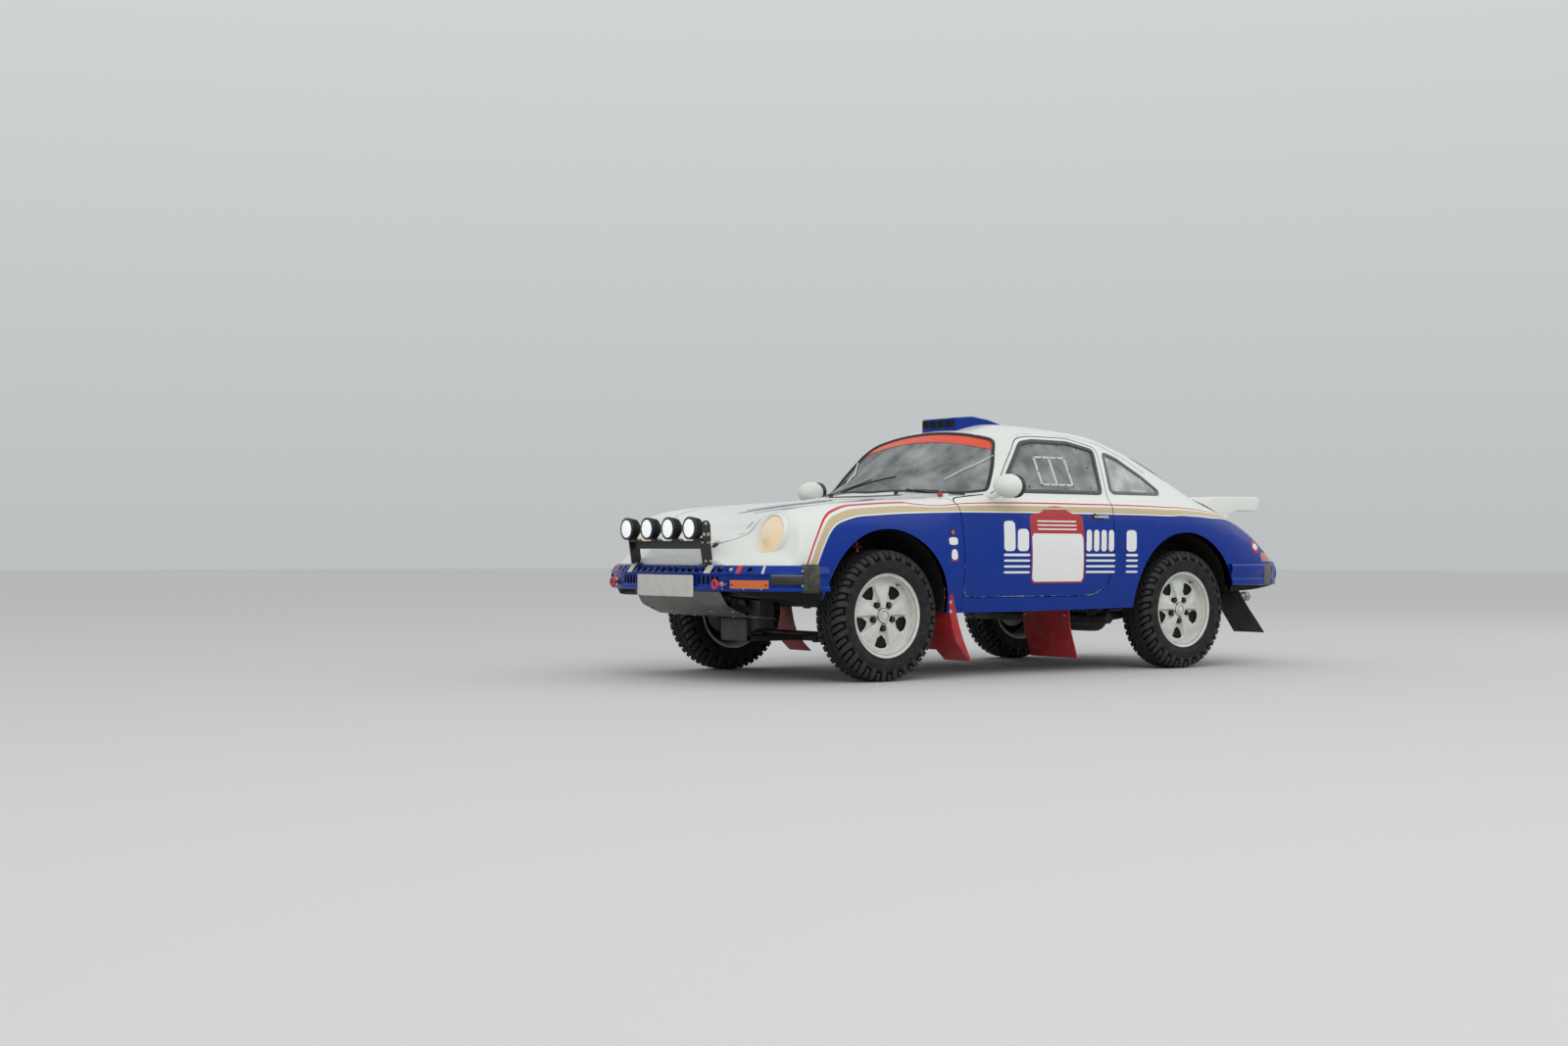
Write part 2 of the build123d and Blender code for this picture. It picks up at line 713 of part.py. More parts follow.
def build_spot_lamp(y):
    """A deep round housing with a flat lens and cooling fins, on a short stem that stands on the bar."""
    front = -front_reach
    housing = rod((front, y, spot_z), (front + spot_bezel, y, spot_z), spot_radius)
    core = spot_radius - fin_height
    housing = housing + rod((front, y, spot_z), (front + spot_depth * 0.7, y, spot_z), core)
    for i in range(fin_count):
        fin = front + spot_bezel + fin_pitch * (i + 0.5)
        housing = housing + rod((fin, y, spot_z), (fin + fin_pitch / 2, y, spot_z), spot_radius - 2)
    back = rod((front + spot_depth * 0.7, y, spot_z), (front + spot_depth, y, spot_z), spot_radius * 0.7)
    stem = rod((front + 66, y, bar_z + 22), (front + 66, y, spot_z - 30), 9)
    return housing + back + stem


save("lamp_bar", build_lamp_bar())
save("spot_lamps", *[build_spot_lamp((i - 1.5) * spot_pitch) for i in range(4)])

# Skid plate and mud flaps
skid_half = 395.0
SKID = [(-806, 128), (-800, 128), (-752, 52), (-640, 4), (-440, -16), (-440, -24), (-641, -4), (-757, 45)]
save("skid_plate", side_prism(SKID, -skid_half, skid_half) - front_ring)

flap_thickness = 6.0
FRONT_FLAP = [(400, 150), (410, 0), (450, -140), (560, -255)]
REAR_FLAP = [(rear_axle + 492, 170), (rear_axle + 500, 90), (rear_axle + 560, 0), (rear_axle + 699, -152)]
MIDDLE_FLAP = [(1420, 40), (1425, -60), (1450, -160), (1490, -270)]


def build_flap(line, y_from, y_to):
    back = [(p + flap_thickness, z) for p, z in reversed(line)]
    return side_prism(line + back, y_from, y_to) - outer


save(
    "front_mudflaps",
    build_flap(FRONT_FLAP, 590, 800), mirrored(build_flap(FRONT_FLAP, 590, 800)),
    build_flap(MIDDLE_FLAP, 300, 680), mirrored(build_flap(MIDDLE_FLAP, 300, 680)),
)
save_pair("rear_mudflaps", build_flap(REAR_FLAP, 560, 800) - rear_ring)

# Roof


def build_roof_vents():
    """The intake scoop over the windscreen and the outlet pod at the roof's rear edge, on the skin."""
    scoop = side_prism([(890, 1000), (884, 1104), (1150, 1123), (1405, 1090), (1405, 1000)], -230, 230)
    scoop = scoop - side_prism([(870, 1040), (870, 1098), (1120, 1115), (1120, 1040)], -215, 215)
    pod = side_prism([(2030, 900), (1990, 1000), (2000, 1040), (2120, 1030), (2150, 900)], -130, 130)
    return scoop - outer, pod - outer


save("roof_vents", *build_roof_vents())

# Cabin

cage_radius = 20.0


def floor_height(place):
    return section_at(place).low_z + wall_floor


def build_roll_cage():
    """Main hoop, front legs along the pillars, roof bars, door bars and rear stays."""
    hoop_place, front_place = 1700, 1010
    low = floor_height(hoop_place)
    cage = tube_run(
        [(hoop_place, 600, low), (hoop_place, 600, 640), (hoop_place, 480, 935),
         (hoop_place, -480, 935), (hoop_place, -600, 640), (hoop_place, -600, low)], cage_radius)
    cage = cage + tube_run([(hoop_place, 590, 300), (hoop_place, -590, 300)], cage_radius)
    cage = cage + tube_run([(front_place, 470, 900), (front_place, -470, 900)], cage_radius)
    for sign in (1, -1):
        leg = [(590, sign * 640, floor_height(590)), (600, sign * 620, 560), (front_place, sign * 470, 900),
               (hoop_place, sign * 480, 935)]
        stay = [(hoop_place, sign * 480, 935), (2180, sign * 545, 470)]
        bar = [(598, sign * 628, 330), (hoop_place, sign * 600, 250)]
        for run in (leg, stay, bar):
            cage = cage + tube_run(run, cage_radius)
    return cage & hollow(cowl_bulkhead + bulkhead_thickness, rear_bulkhead, beyond * 2)


seat_y = 350.0
seat_half = 215.0


def build_seat():
    """A bucket seat as one plain solid on its runners."""
    base = side_prism(
        [(1040, 90), (1030, 250), (1100, 265), (1380, 235), (1460, 280), (1560, 800), (1640, 800),
         (1600, 560), (1530, 200), (1500, 90)], seat_y - seat_half, seat_y + seat_half)
    hollow_seat = side_prism(
        [(1000, 290), (1110, 255), (1370, 200), (1440, 240), (1540, 830), (1300, 830), (1250, 400)],
        seat_y - seat_half + 45, seat_y + seat_half - 45)
    bolster = side_prism(
        [(1040, 250), (1060, 320), (1320, 330), (1400, 480), (1440, 700), (1540, 700), (1460, 280),
         (1380, 235)], seat_y - seat_half, seat_y + seat_half)
    runners = block(1080, 1460, seat_y - 180, seat_y + 180, floor_height(1460), 90)
    return (base + bolster - hollow_seat) + (runners - block(1080, 1460, seat_y - 140, seat_y + 140, 0, 90))


save("roll_cage", build_roll_cage())
save_pair("seats", build_seat())

dash_back = cowl_bulkhead + bulkhead_thickness
dash_half = 585.0
DASH = [(dash_back, 420), (dash_back, 612), (560, 606), (690, 560), (700, 500), (620, 420)]
column_angle = 18.0
column_radius = 16.0
steering_y = seat_y
steering_place = 930.0
steering_z = 550.0
wheel_ring_radius = 180.0
grip_radius = 15.0
column_dir = Vector(-cos(radians(column_angle)), 0, sin(radians(column_angle)))


def column_rod(start, end, radius):
    """A cylinder on the steering column's axis, by distances behind the ring's centre."""
    origin = at(steering_place, steering_y, steering_z) + column_dir * start
    return Solid.make_cylinder(radius, end - start, Plane(origin=origin, z_dir=column_dir))


def build_dashboard():
    dash = side_prism(DASH, -dash_half, dash_half) & body_loft(wall_side + 10, wall_cabin + 10)
    return dash - column_rod(-600, 0, column_radius + pin_clearance)


def build_steering_wheel():
    """A rim on three spokes with its hub and the column that runs into the dashboard."""
    centre = at(steering_place, steering_y, steering_z)
    across = Vector(0, 1, 0)
    up = column_dir.cross(across)
    grip = Face(Wire.make_circle(grip_radius, Plane(origin=centre + up * wheel_ring_radius, z_dir=across)))
    rim = Solid.revolve(grip, 360, Axis(centre, column_dir))
    wheel = rim + column_rod(-70, -10, 34) + column_rod(-360, -40, column_radius)
    for angle in (90, 210, 330):
        out = across * cos(radians(angle)) + up * sin(radians(angle))
        start = centre - column_dir * 30 + out * 26
        end = centre + out * (wheel_ring_radius - 4)
        wheel = wheel + Solid.make_cylinder(8, (end - start).length, Plane(origin=start, z_dir=end - start))
    return wheel


save("dashboard", build_dashboard())
save("steering_wheel", build_steering_wheel())

# Running gear under the body


def build_engine():
    """Engine and gearbox as one plain block at their real place behind and ahead of the rear axle."""
    engine = block(rear_axle + 75, rear_axle + 688, -330, 330, -60, 250)
    gearbox = block(1930, rear_axle + 76, -120, 120, -90, 100)
    return (gearbox - outer) + engine


def build_exhaust():
    muffler = cross_rod(rear_axle + 790, 25, 80, -300, 300)
    link = block(rear_axle + 688, rear_axle + 780, -60, 60, -40, 20)
    tail = tube_run([(rear_axle + 790, 240, 20), (rear_axle + 830, 420, 60), (rear_axle + 990, 420, 60)], 30)
    return muffler + link + tail


def build_front_suspension():
    """Crossmember with its posts and lower arms, out to the seats of the kingpins' lower ends."""
    beam = block(-60, 40, -320, 320, -150, -100)
    for sign in (1, -1):
        y_from, y_to = sorted((sign * 240, sign * 300))
        beam = beam + (block(-50, 30, y_from, y_to, -100, 100) - outer)
        arm = [(-110, sign * 280), (110, sign * 280), (20, sign * 655), (-20, sign * 655)]
        beam = beam + plan_prism(arm, -148, -126) + kingpin_rod(sign, -150, -125, 18)
    return beam + block(-430, -60, -120, 120, -150, -118) + block(-430, -400, -120, 120, -150, -24)


def build_rear_suspension():
    """Torsion tube, trailing arms, hub carriers with stub axles and half shafts."""
    tube_z = -50.0
    beam = cross_rod(1830, tube_z, 32, -600, 600)
    for sign in (1, -1):
        y_from, y_to = sorted((sign * 440, sign * 520))
        beam = beam + (block(1800, 1860, y_from, y_to, tube_z, 60) - outer)
        plane_y = rear_track / 2
        arm = [(1830, sign * 535, tube_z), (2100, sign * 540, -20), (rear_axle, sign * 540, 0)]
        beam = beam + tube_run(arm, 24)
        beam = beam + cross_rod(rear_axle, 0, 50, sign * 525, sign * (plane_y - 17))
        beam = beam + cross_rod(rear_axle, 0, stub_radius, sign * 525, sign * (plane_y + 50))
        beam = beam + rod((rear_axle - 40, sign * 120, -10), (rear_axle, sign * 530, 0), 16)
    return beam - block(1930, rear_axle + 76, -120, 120, -90, 100)


def build_knuckle(sign):
    """Strut, hub carrier and stub axle, turning on the kingpin line."""
    plane_y = front_track / 2
    low_end = -125 + running_gap
    knuckle = kingpin_rod(sign, low_end, strut_top, 15) + kingpin_rod(sign, -60, strut_top, strut_radius)
    knuckle = knuckle + kingpin_rod(sign, 262, 395, 32)
    knuckle = knuckle + cross_rod(0, 0, 40, sign * 585, sign * (plane_y - 17))
    knuckle = knuckle + cross_rod(0, 0, stub_radius, sign * 600, sign * (plane_y + 50))
    y_from, y_to = sorted((sign * 612, sign * 640))
    return knuckle + block(0, 130, y_from, y_to, -30, 30)


save("engine_block", build_engine())
save("exhaust", build_exhaust())
save("front_suspension", build_front_suspension())
save("rear_suspension", build_rear_suspension())
save("knuckle_left", build_knuckle(1))
save("knuckle_right", build_knuckle(-1))


# Wheels


def lathe(profile, place, plane_y, sign):
    """A closed (radius, offset outwards) profile turned about an axle line."""
    points = [at(place, plane_y + sign * offset, radius) for radius, offset in profile]
    face = Face(Wire.make_polygon(points, close=True))
    axis = Axis(at(place, 0, 0), Vector(0, 1, 0))
    return Solid.revolve(face, 360, axis)


def build_tyre(place, plane_y, sign):
    """A faceted mud tyre: lands and grooves take turns round it, each groove open at both shoulders."""
    half = tyre_width / 2
    bead = rim_width / 2 - running_gap
    step = 180 / lug_count
    flat = 1 / cos(radians(step / 2))
    tread = tyre_radius * flat
    floor = tread - lug_height
    wall = [
        ((rim_radius + running_gap) * flat, bead), (rim_radius + rim_flange + 2, bead),
        (rim_radius + rim_flange + 14, half - 6), (tyre_radius - 73, half),
    ]
    land = [(tread - 22, half - 8), (tread, half - tyre_shoulder), (tread, centre_rib + 4)]
    groove = [(floor - 28, half - 12), (floor, half - tyre_shoulder - 2), (floor, centre_rib + 4)]
    rib = [(tread, centre_rib)]

    def point(radius, offset, i):
        angle = radians((i + 0.5) * step)
        return at(place + radius * sin(angle), plane_y + sign * offset, radius * cos(angle))

    def both(points):
        return points + [(radius, -offset) for radius, offset in reversed(points)]

    def flat_face(points):
        return Face(Wire.make_polygon(points, close=True))

    faces = []
    for i in range(2 * lug_count):
        profile = both(wall + (land if i % 2 else groove) + rib)
        for (r0, o0), (r1, o1) in zip(profile, profile[1:] + profile[:1]):
            corners = [point(r0, o0, i), point(r1, o1, i), point(r1, o1, i + 1), point(r0, o0, i + 1)]
            faces.append(flat_face(corners))
        for side in (1, -1):
            ends = wall[-1:] + land + rib + groove[::-1]
            faces.append(flat_face([point(r, side * o, i) for r, o in ends]))
    return Solid(Shell(faces))


def build_rim(place, plane_y, sign):
    """Barrel with flanges, a five-spoke face, the hub and the brake disc behind it."""
    half = rim_width / 2
    top = rim_radius + rim_flange
    well = rim_radius - rim_wall
    barrel_profile = [
        (well, -half), (top, -half - 8), (top, -half), (rim_radius, -half),
        (rim_radius, half), (top, half), (top, half + 8), (well, half),
    ]
    barrel = lathe(barrel_profile, place, plane_y, sign)
    face_profile = [(hub_radius - 5, 30), (hub_radius - 5, 55), (rim_radius - 2, 40), (rim_radius - 2, 20)]
    face = lathe(face_profile, place, plane_y, sign)
    hub = cross_rod(place, 0, hub_radius, plane_y - sign * 13, plane_y + sign * 58)
    disc = cross_rod(place, 0, disc_radius, plane_y - sign * 13, plane_y + sign * (disc_thickness - 13))
    for i in range(spoke_count):
        angle = radians(360 / spoke_count * (i + 0.5) + 90)
        spread = radians(19)
        corners = [(100, angle - 0.1), (100, angle + 0.1), (168, angle + spread), (168, angle - spread)]
        outline = [(place - r * cos(a), r * sin(a)) for r, a in corners]
        y_from, y_to = sorted((plane_y + sign * 5.5, plane_y + sign * 80))
        face = face - side_prism(outline, y_from, y_to)
    wheel = barrel + face + hub + disc
    deep = plane_y + sign * (50 + running_gap)
    bore = cross_rod(place, 0, stub_radius + pin_clearance, plane_y - sign * 20, deep)
    return wheel - bore


for end, place, track in (("front", 0.0, front_track), ("rear", rear_axle, rear_track)):
    for side, sign in (("left", 1), ("right", -1)):
        save(f"tyre_{end}_{side}", build_tyre(place, sign * track / 2, sign))
        save(f"rim_{end}_{side}", build_rim(place, sign * track / 2, sign))


# Wipers lie along the foot of the windscreen


def build_wipers():
    arms = []
    for y in (-330, 250):
        pivot = (500, y, deck_height(500, y) + 1)
        tip = (620, y + 260, deck_height(620, y + 260) + 14)
        boss = rod(pivot, (500, y, pivot[2] + 16), 9)
        arms.append(boss + tube_run([(500, y, pivot[2] + 12), tip], 5) - outer)
    return arms


save("wipers", *build_wipers())
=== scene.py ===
import bmesh
import bpy
from collections import namedtuple
from math import cos, pi, radians, sin, sqrt, tan
import numpy as np
from mathutils import Matrix, Vector


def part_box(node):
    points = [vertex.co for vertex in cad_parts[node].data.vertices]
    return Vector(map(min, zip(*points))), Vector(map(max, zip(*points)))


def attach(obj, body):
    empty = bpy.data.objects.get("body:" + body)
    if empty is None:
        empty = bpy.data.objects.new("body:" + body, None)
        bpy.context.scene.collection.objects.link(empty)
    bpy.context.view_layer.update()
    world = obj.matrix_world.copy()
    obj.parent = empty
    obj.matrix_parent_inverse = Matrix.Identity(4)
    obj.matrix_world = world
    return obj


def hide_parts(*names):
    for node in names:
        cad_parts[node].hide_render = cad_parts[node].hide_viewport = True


# A two-door rally coupe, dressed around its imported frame.
# Shapes are written in millimetres as (place, y, z): place is the distance behind the front axle,
# y is to the car's left, z is the height above the axle line. to_world turns them into metres.

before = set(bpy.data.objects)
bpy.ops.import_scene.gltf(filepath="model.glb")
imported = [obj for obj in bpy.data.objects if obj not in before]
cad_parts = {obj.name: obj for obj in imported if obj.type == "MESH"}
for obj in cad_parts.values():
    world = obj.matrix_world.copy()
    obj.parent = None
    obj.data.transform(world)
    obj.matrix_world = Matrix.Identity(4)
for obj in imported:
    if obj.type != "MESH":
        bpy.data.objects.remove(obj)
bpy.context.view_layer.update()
MM = 0.001

front_low, front_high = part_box("rim_front_left")
rear_low, rear_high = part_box("rim_rear_left")
AXLE_X = (front_low.x + front_high.x) / 2
AXLE_Z = (front_low.z + front_high.z) / 2
REAR_AXLE = (AXLE_X - (rear_low.x + rear_high.x) / 2) / MM


def to_world(points):
    """Millimetre (place, y, z) points as an array of metres in the row frame."""
    p = np.asarray(points, float).reshape(-1, 3) * MM
    return np.stack([AXLE_X - p[:, 0], p[:, 1], AXLE_Z + p[:, 2]], 1)


# Materials


class Nodes:
    """A material with its shader, and short calls that add and join nodes."""

    def __init__(self, name):
        self.material = bpy.data.materials.new(name)
        self.material.use_nodes = True
        self.tree = self.material.node_tree
        self.shader = self.tree.nodes["Principled BSDF"]
        self.place = self.new("ShaderNodeTexCoord").outputs["Object"]

    def new(self, kind, **settings):
        """A new node with some of its settings."""
        node = self.tree.nodes.new(kind)
        for key, value in settings.items():
            setattr(node, key, value)
        return node

    def put(self, socket, value):
        """Joins a socket to an output, or gives it a value."""
        if isinstance(value, bpy.types.NodeSocket):
            self.tree.links.new(value, socket)
        else:
            socket.default_value = value

    def noise(self, scale, detail=3.0):
        node = self.new("ShaderNodeTexNoise")
        node.inputs["Scale"].default_value = scale
        node.inputs["Detail"].default_value = detail
        self.put(node.inputs["Vector"], self.place)
        return node.outputs["Fac"]

    def math(self, operation, a, b=0.0, clamp=False):
        node = self.new("ShaderNodeMath", operation=operation, use_clamp=clamp)
        self.put(node.inputs[0], a)
        self.put(node.inputs[1], b)
        return node.outputs[0]

    def span(self, value, low, high, to_low=0.0, to_high=1.0):
        """A value taken from one range to another."""
        node = self.new("ShaderNodeMapRange")
        for key, number in zip(("From Min", "From Max", "To Min", "To Max"), (low, high, to_low, to_high)):
            node.inputs[key].default_value = number
        self.put(node.inputs["Value"], value)
        return node.outputs["Result"]

    def mix(self, share, a, b):
        node = self.new("ShaderNodeMix", data_type="RGBA")
        self.put(node.inputs["Factor"], share)
        self.put(node.inputs["A"], a)
        self.put(node.inputs["B"], b)
        return node.outputs["Result"]

    def attribute(self, name):
        return self.new("ShaderNodeAttribute", attribute_name=name).outputs["Fac"]

    def bump(self, height, strength):
        """Relief of up to a millimetre."""
        node = self.new("ShaderNodeBump")
        node.inputs["Strength"].default_value = strength
        node.inputs["Distance"].default_value = MM
        self.put(node.inputs["Height"], height)
        self.put(self.shader.inputs["Normal"], node.outputs["Normal"])

    def set(self, **values):
        for key, value in values.items():
            self.put(self.shader.inputs[key.replace("_", " ")], value)


def rgb(r, g, b):
    return (r, g, b, 1.0)


WHITE = rgb(0.80, 0.82, 0.77)
BLUE = rgb(0.0005, 0.030, 0.27)
GOLD = rgb(0.58, 0.47, 0.29)
RED = rgb(0.62, 0.02, 0.035)


def surface(name, color, rough, vary=0.12, patch=5.0, grain=400.0, relief=0.15, dirt=None, dirt_share=0.3,
            **shader):
    """A finish that drifts in colour and gloss, with fine grain and, if given, dirt in places."""
    n = Nodes(name)
    drift = n.noise(patch)
    dark = tuple(c * (1 - vary) for c in color[:3]) + (1.0,)
    light = tuple(min(1.0, c * (1 + vary)) for c in color[:3]) + (1.0,)
    paint = n.mix(n.span(drift, 0.3, 0.7), dark, light)
    if dirt:
        share = n.math("MULTIPLY", n.span(n.noise(patch * 4, 6.0), 0.45, 0.75), dirt_share)
        paint = n.mix(share, paint, dirt)
    n.set(Base_Color=paint, Roughness=n.span(n.noise(patch * 3), 0.3, 0.7, rough * 0.85,
                                             min(1.0, rough * 1.2)))
    n.set(**shader)
    n.bump(n.noise(grain, 2.0), relief)
    return n.material


# Range of the stripes' attribute, in millimetres above the edge of the blue
BAND_LOW, BAND_HIGH = -100, 200


def body_paint(name, inside=None):
    """Gloss paint. The attribute band is the distance in millimetres above the edge of the blue."""
    n = Nodes(name)
    if inside:
        color = inside
    else:
        band = n.span(n.attribute("band"), BAND_LOW, BAND_HIGH)
        ramp = n.new("ShaderNodeValToRGB")
        n.put(ramp.inputs["Fac"], band)
        ramp.color_ramp.interpolation = "CONSTANT"
        stops = [(BAND_LOW, BLUE), (0, WHITE), (7, GOLD), (41, WHITE), (54, RED), (64, WHITE)]
        while len(ramp.color_ramp.elements) < len(stops):
            ramp.color_ramp.elements.new(0.5)
        for element, (at, tone) in zip(ramp.color_ramp.elements, stops):
            element.position = (at - BAND_LOW) / (BAND_HIGH - BAND_LOW)
            element.color = tone
        color = ramp.outputs["Color"]
        chips = n.math("GREATER_THAN", n.noise(160.0, 4.0), 0.47)
        near = n.math("LESS_THAN", n.attribute("edge"), n.span(n.noise(9.0), 0.35, 0.7, -1.5, 4.5))
        color = n.mix(n.math("MULTIPLY", chips, near), color, rgb(0.62, 0.64, 0.62))
    film = n.math("MULTIPLY", n.span(n.noise(14.0, 6.0), 0.55, 0.8), 0.035)
    color = n.mix(film, color, rgb(0.20, 0.18, 0.15))
    n.set(Base_Color=color, Roughness=n.span(n.noise(3.0, 5.0), 0.3, 0.7, 0.20, 0.34))
    n.set(Specular_IOR_Level=0.12, Coat_Weight=0.22, Coat_Roughness=0.04)
    n.bump(n.noise(420.0, 1.0), 0.02)
    return n.material


def glass(name, tint, haze):
    """Thin clear glazing: it lets most light through unbent, with a pale film that is partly dust and partly
    painted reflection of the sky.
    """
    n = Nodes(name)
    clear = n.new("ShaderNodeBsdfTransparent")
    clear.inputs["Color"].default_value = tint
    n.set(Base_Color=rgb(0.04, 0.05, 0.05), Roughness=0.02, Specular_IOR_Level=0.5)
    # The pale diffuse film: partly dust, partly painted reflection of the sky that brightens the panes.
    dust_and_sky_reflection = n.new("ShaderNodeBsdfDiffuse")
    dust_and_sky_reflection.inputs["Color"].default_value = rgb(0.74, 0.78, 0.77)
    film = n.new("ShaderNodeMixShader")
    n.put(film.inputs[0], n.span(n.noise(7.0, 6.0), 0.35, 0.8, haze, haze * 3 + 0.02))
    n.put(film.inputs[1], clear.outputs[0])
    n.put(film.inputs[2], dust_and_sky_reflection.outputs[0])
    shine = n.new("ShaderNodeFresnel")
    shine.inputs["IOR"].default_value = 1.5
    both = n.new("ShaderNodeMixShader")
    n.put(both.inputs[0], n.math("MULTIPLY", shine.outputs[0], 1.6, clamp=True))
    n.put(both.inputs[1], film.outputs[0])
    n.put(both.inputs[2], n.shader.outputs[0])
    n.put(n.tree.nodes["Material Output"].inputs["Surface"], both.outputs[0])
    return n.material


MAT = {
    "livery": body_paint("livery_paint"),
    "white": body_paint("white_paint", WHITE),
    "blue": body_paint("blue_paint", BLUE),
    "inner": surface("inner_paint", rgb(0.66, 0.68, 0.67), 0.5, dirt=rgb(0.2, 0.18, 0.15)),
    "under": surface("underseal", rgb(0.022, 0.021, 0.02), 0.75, relief=0.5, grain=150.0,
                     dirt=rgb(0.09, 0.075, 0.06)),
    "rubber": surface("black_rubber", rgb(0.018, 0.018, 0.018), 0.55, relief=0.25,
                      dirt=rgb(0.10, 0.095, 0.085)),
    "trim": surface("black_trim", rgb(0.014, 0.014, 0.015), 0.38, relief=0.2, grain=900.0),
    "grey_rubber": surface("grey_seal", rgb(0.12, 0.13, 0.14), 0.55, relief=0.2),
    "steel": surface("bolt_steel", rgb(0.50, 0.50, 0.48), 0.3, Metallic=1.0, relief=0.2),
    "wheel": surface("wheel_paint", rgb(0.66, 0.68, 0.62), 0.36, vary=0.05, relief=0.1,
                     dirt=rgb(0.30, 0.27, 0.22), dirt_share=0.35, Coat_Weight=0.3),
    "tyre": surface("tyre_wall", rgb(0.010, 0.010, 0.011), 0.66, relief=0.35, grain=700.0, patch=9.0,
                    dirt=rgb(0.045, 0.042, 0.038), dirt_share=0.5, Specular_IOR_Level=0.3),
    # The grooves' floor is painted darker than tread and wall: painted shade in the recesses between the
    # lugs; the noise over it is dirt.
    "groove": surface("tyre_groove_shade", rgb(0.003, 0.003, 0.003), 0.85, relief=0.4, grain=300.0,
                      dirt=rgb(0.02, 0.018, 0.015), dirt_share=0.3, Specular_IOR_Level=0.1),
    "tread": surface("tyre_tread", rgb(0.024, 0.024, 0.026), 0.6, relief=0.5, grain=500.0, patch=11.0,
                     dirt=rgb(0.055, 0.05, 0.043), dirt_share=0.6, Specular_IOR_Level=0.35),
    "bellows": surface("bellows_rubber", rgb(0.045, 0.046, 0.035), 0.5, relief=0.4,
                       dirt=rgb(0.16, 0.155, 0.13), dirt_share=0.6, patch=9.0),
    "grey_bellows": surface("grey_bellows", rgb(0.13, 0.125, 0.10), 0.5, relief=0.4,
                            dirt=rgb(0.05, 0.045, 0.04)),
    "frame": surface("window_frame", rgb(0.05, 0.053, 0.055), 0.4, relief=0.15),
    "cage": surface("cage_paint", rgb(0.62, 0.64, 0.62), 0.35, vary=0.05, dirt=rgb(0.3, 0.28, 0.25)),
    "engine": surface("engine_cast", rgb(0.22, 0.22, 0.21), 0.5, Metallic=0.85, relief=0.5, grain=180.0,
                      dirt=rgb(0.05, 0.04, 0.03), dirt_share=0.7),
    "exhaust": surface("exhaust_steel", rgb(0.42, 0.39, 0.34), 0.4, Metallic=0.9, relief=0.2,
                       dirt=rgb(0.12, 0.08, 0.05), dirt_share=0.5),
    "liner": surface("black_liner", rgb(0.012, 0.012, 0.012), 0.7, relief=0.5, grain=120.0,
                     Specular_IOR_Level=0.2),
    "cloth": surface("seat_cloth", rgb(0.02, 0.022, 0.026), 0.9, relief=0.8, grain=900.0, patch=12.0,
                     Sheen_Weight=0.4, Specular_IOR_Level=0.2),
    "shell": surface("seat_shell", rgb(0.02, 0.02, 0.021), 0.3, relief=0.1),
    "belt": surface("belt_web", rgb(0.33, 0.02, 0.02), 0.8, relief=0.7, grain=1200.0),
    "disc": surface("brake_iron", rgb(0.20, 0.17, 0.15), 0.45, Metallic=1.0, relief=0.4, grain=300.0),
    "dark": surface("dark_metal", rgb(0.03, 0.03, 0.032), 0.45, relief=0.3, dirt=rgb(0.11, 0.09, 0.07)),
    "plate": surface("blank_plate", rgb(0.62, 0.61, 0.55), 0.4, vary=0.05, dirt=rgb(0.3, 0.28, 0.24)),
    "bright_alloy": surface("seam_alloy", rgb(0.46, 0.46, 0.44), 0.35, Metallic=0.9, relief=0.3,
                            grain=260.0),
    "alloy": surface("brushed_alloy", rgb(0.20, 0.20, 0.19), 0.42, Metallic=0.9, relief=0.3, grain=260.0,
                     dirt=rgb(0.12, 0.11, 0.1), dirt_share=0.5),
    "amber": surface("amber_lens", rgb(0.66, 0.13, 0.004), 0.18, Coat_Weight=1.0, grain=500.0, relief=0.3),
    "red_lens": surface("red_lens", rgb(0.50, 0.05, 0.012), 0.16, Coat_Weight=1.0, grain=500.0, relief=0.3),
    "warm_lens": surface("warm_lens", rgb(0.88, 0.72, 0.48), 0.16, vary=0.06, Coat_Weight=1.0, grain=300.0,
                         relief=0.25, Emission_Color=rgb(0.9, 0.6, 0.35), Emission_Strength=0.12),
    "white_lens": surface("white_lens", rgb(0.92, 0.93, 0.96), 0.2, vary=0.03, Coat_Weight=1.0, grain=350.0,
                          relief=0.5, Emission_Color=rgb(0.9, 0.94, 1.0), Emission_Strength=0.35),
    "tow": surface("tow_red", rgb(0.55, 0.03, 0.03), 0.4, dirt=rgb(0.15, 0.1, 0.09)),
    "red_flap": surface("red_flap", rgb(0.40, 0.012, 0.018), 0.45, relief=0.3, dirt=rgb(0.22, 0.12, 0.1),
                        dirt_share=0.45),
    "orange": surface("sun_strip", rgb(0.78, 0.07, 0.015), 0.3, vary=0.04),
    "sticker_red": surface("sticker_red", rgb(0.42, 0.02, 0.02), 0.3, vary=0.04),
    "gold": surface("gold_stripe", GOLD, 0.3, vary=0.04),
    "sticker_white": surface("sticker_white", rgb(0.83, 0.84, 0.82), 0.3, vary=0.03),
    # Haze: the share of pale film on each pane, partly dust and partly painted reflection of the sky.
    "screen": glass("screen_glass", rgb(0.90, 0.96, 0.94), haze=0.21),
    "quarter": glass("quarter_glass", rgb(0.95, 0.98, 1.0), haze=0.42),
    "pane": glass("side_pane", rgb(0.97, 0.99, 0.985), haze=0.20),
}


# Meshes


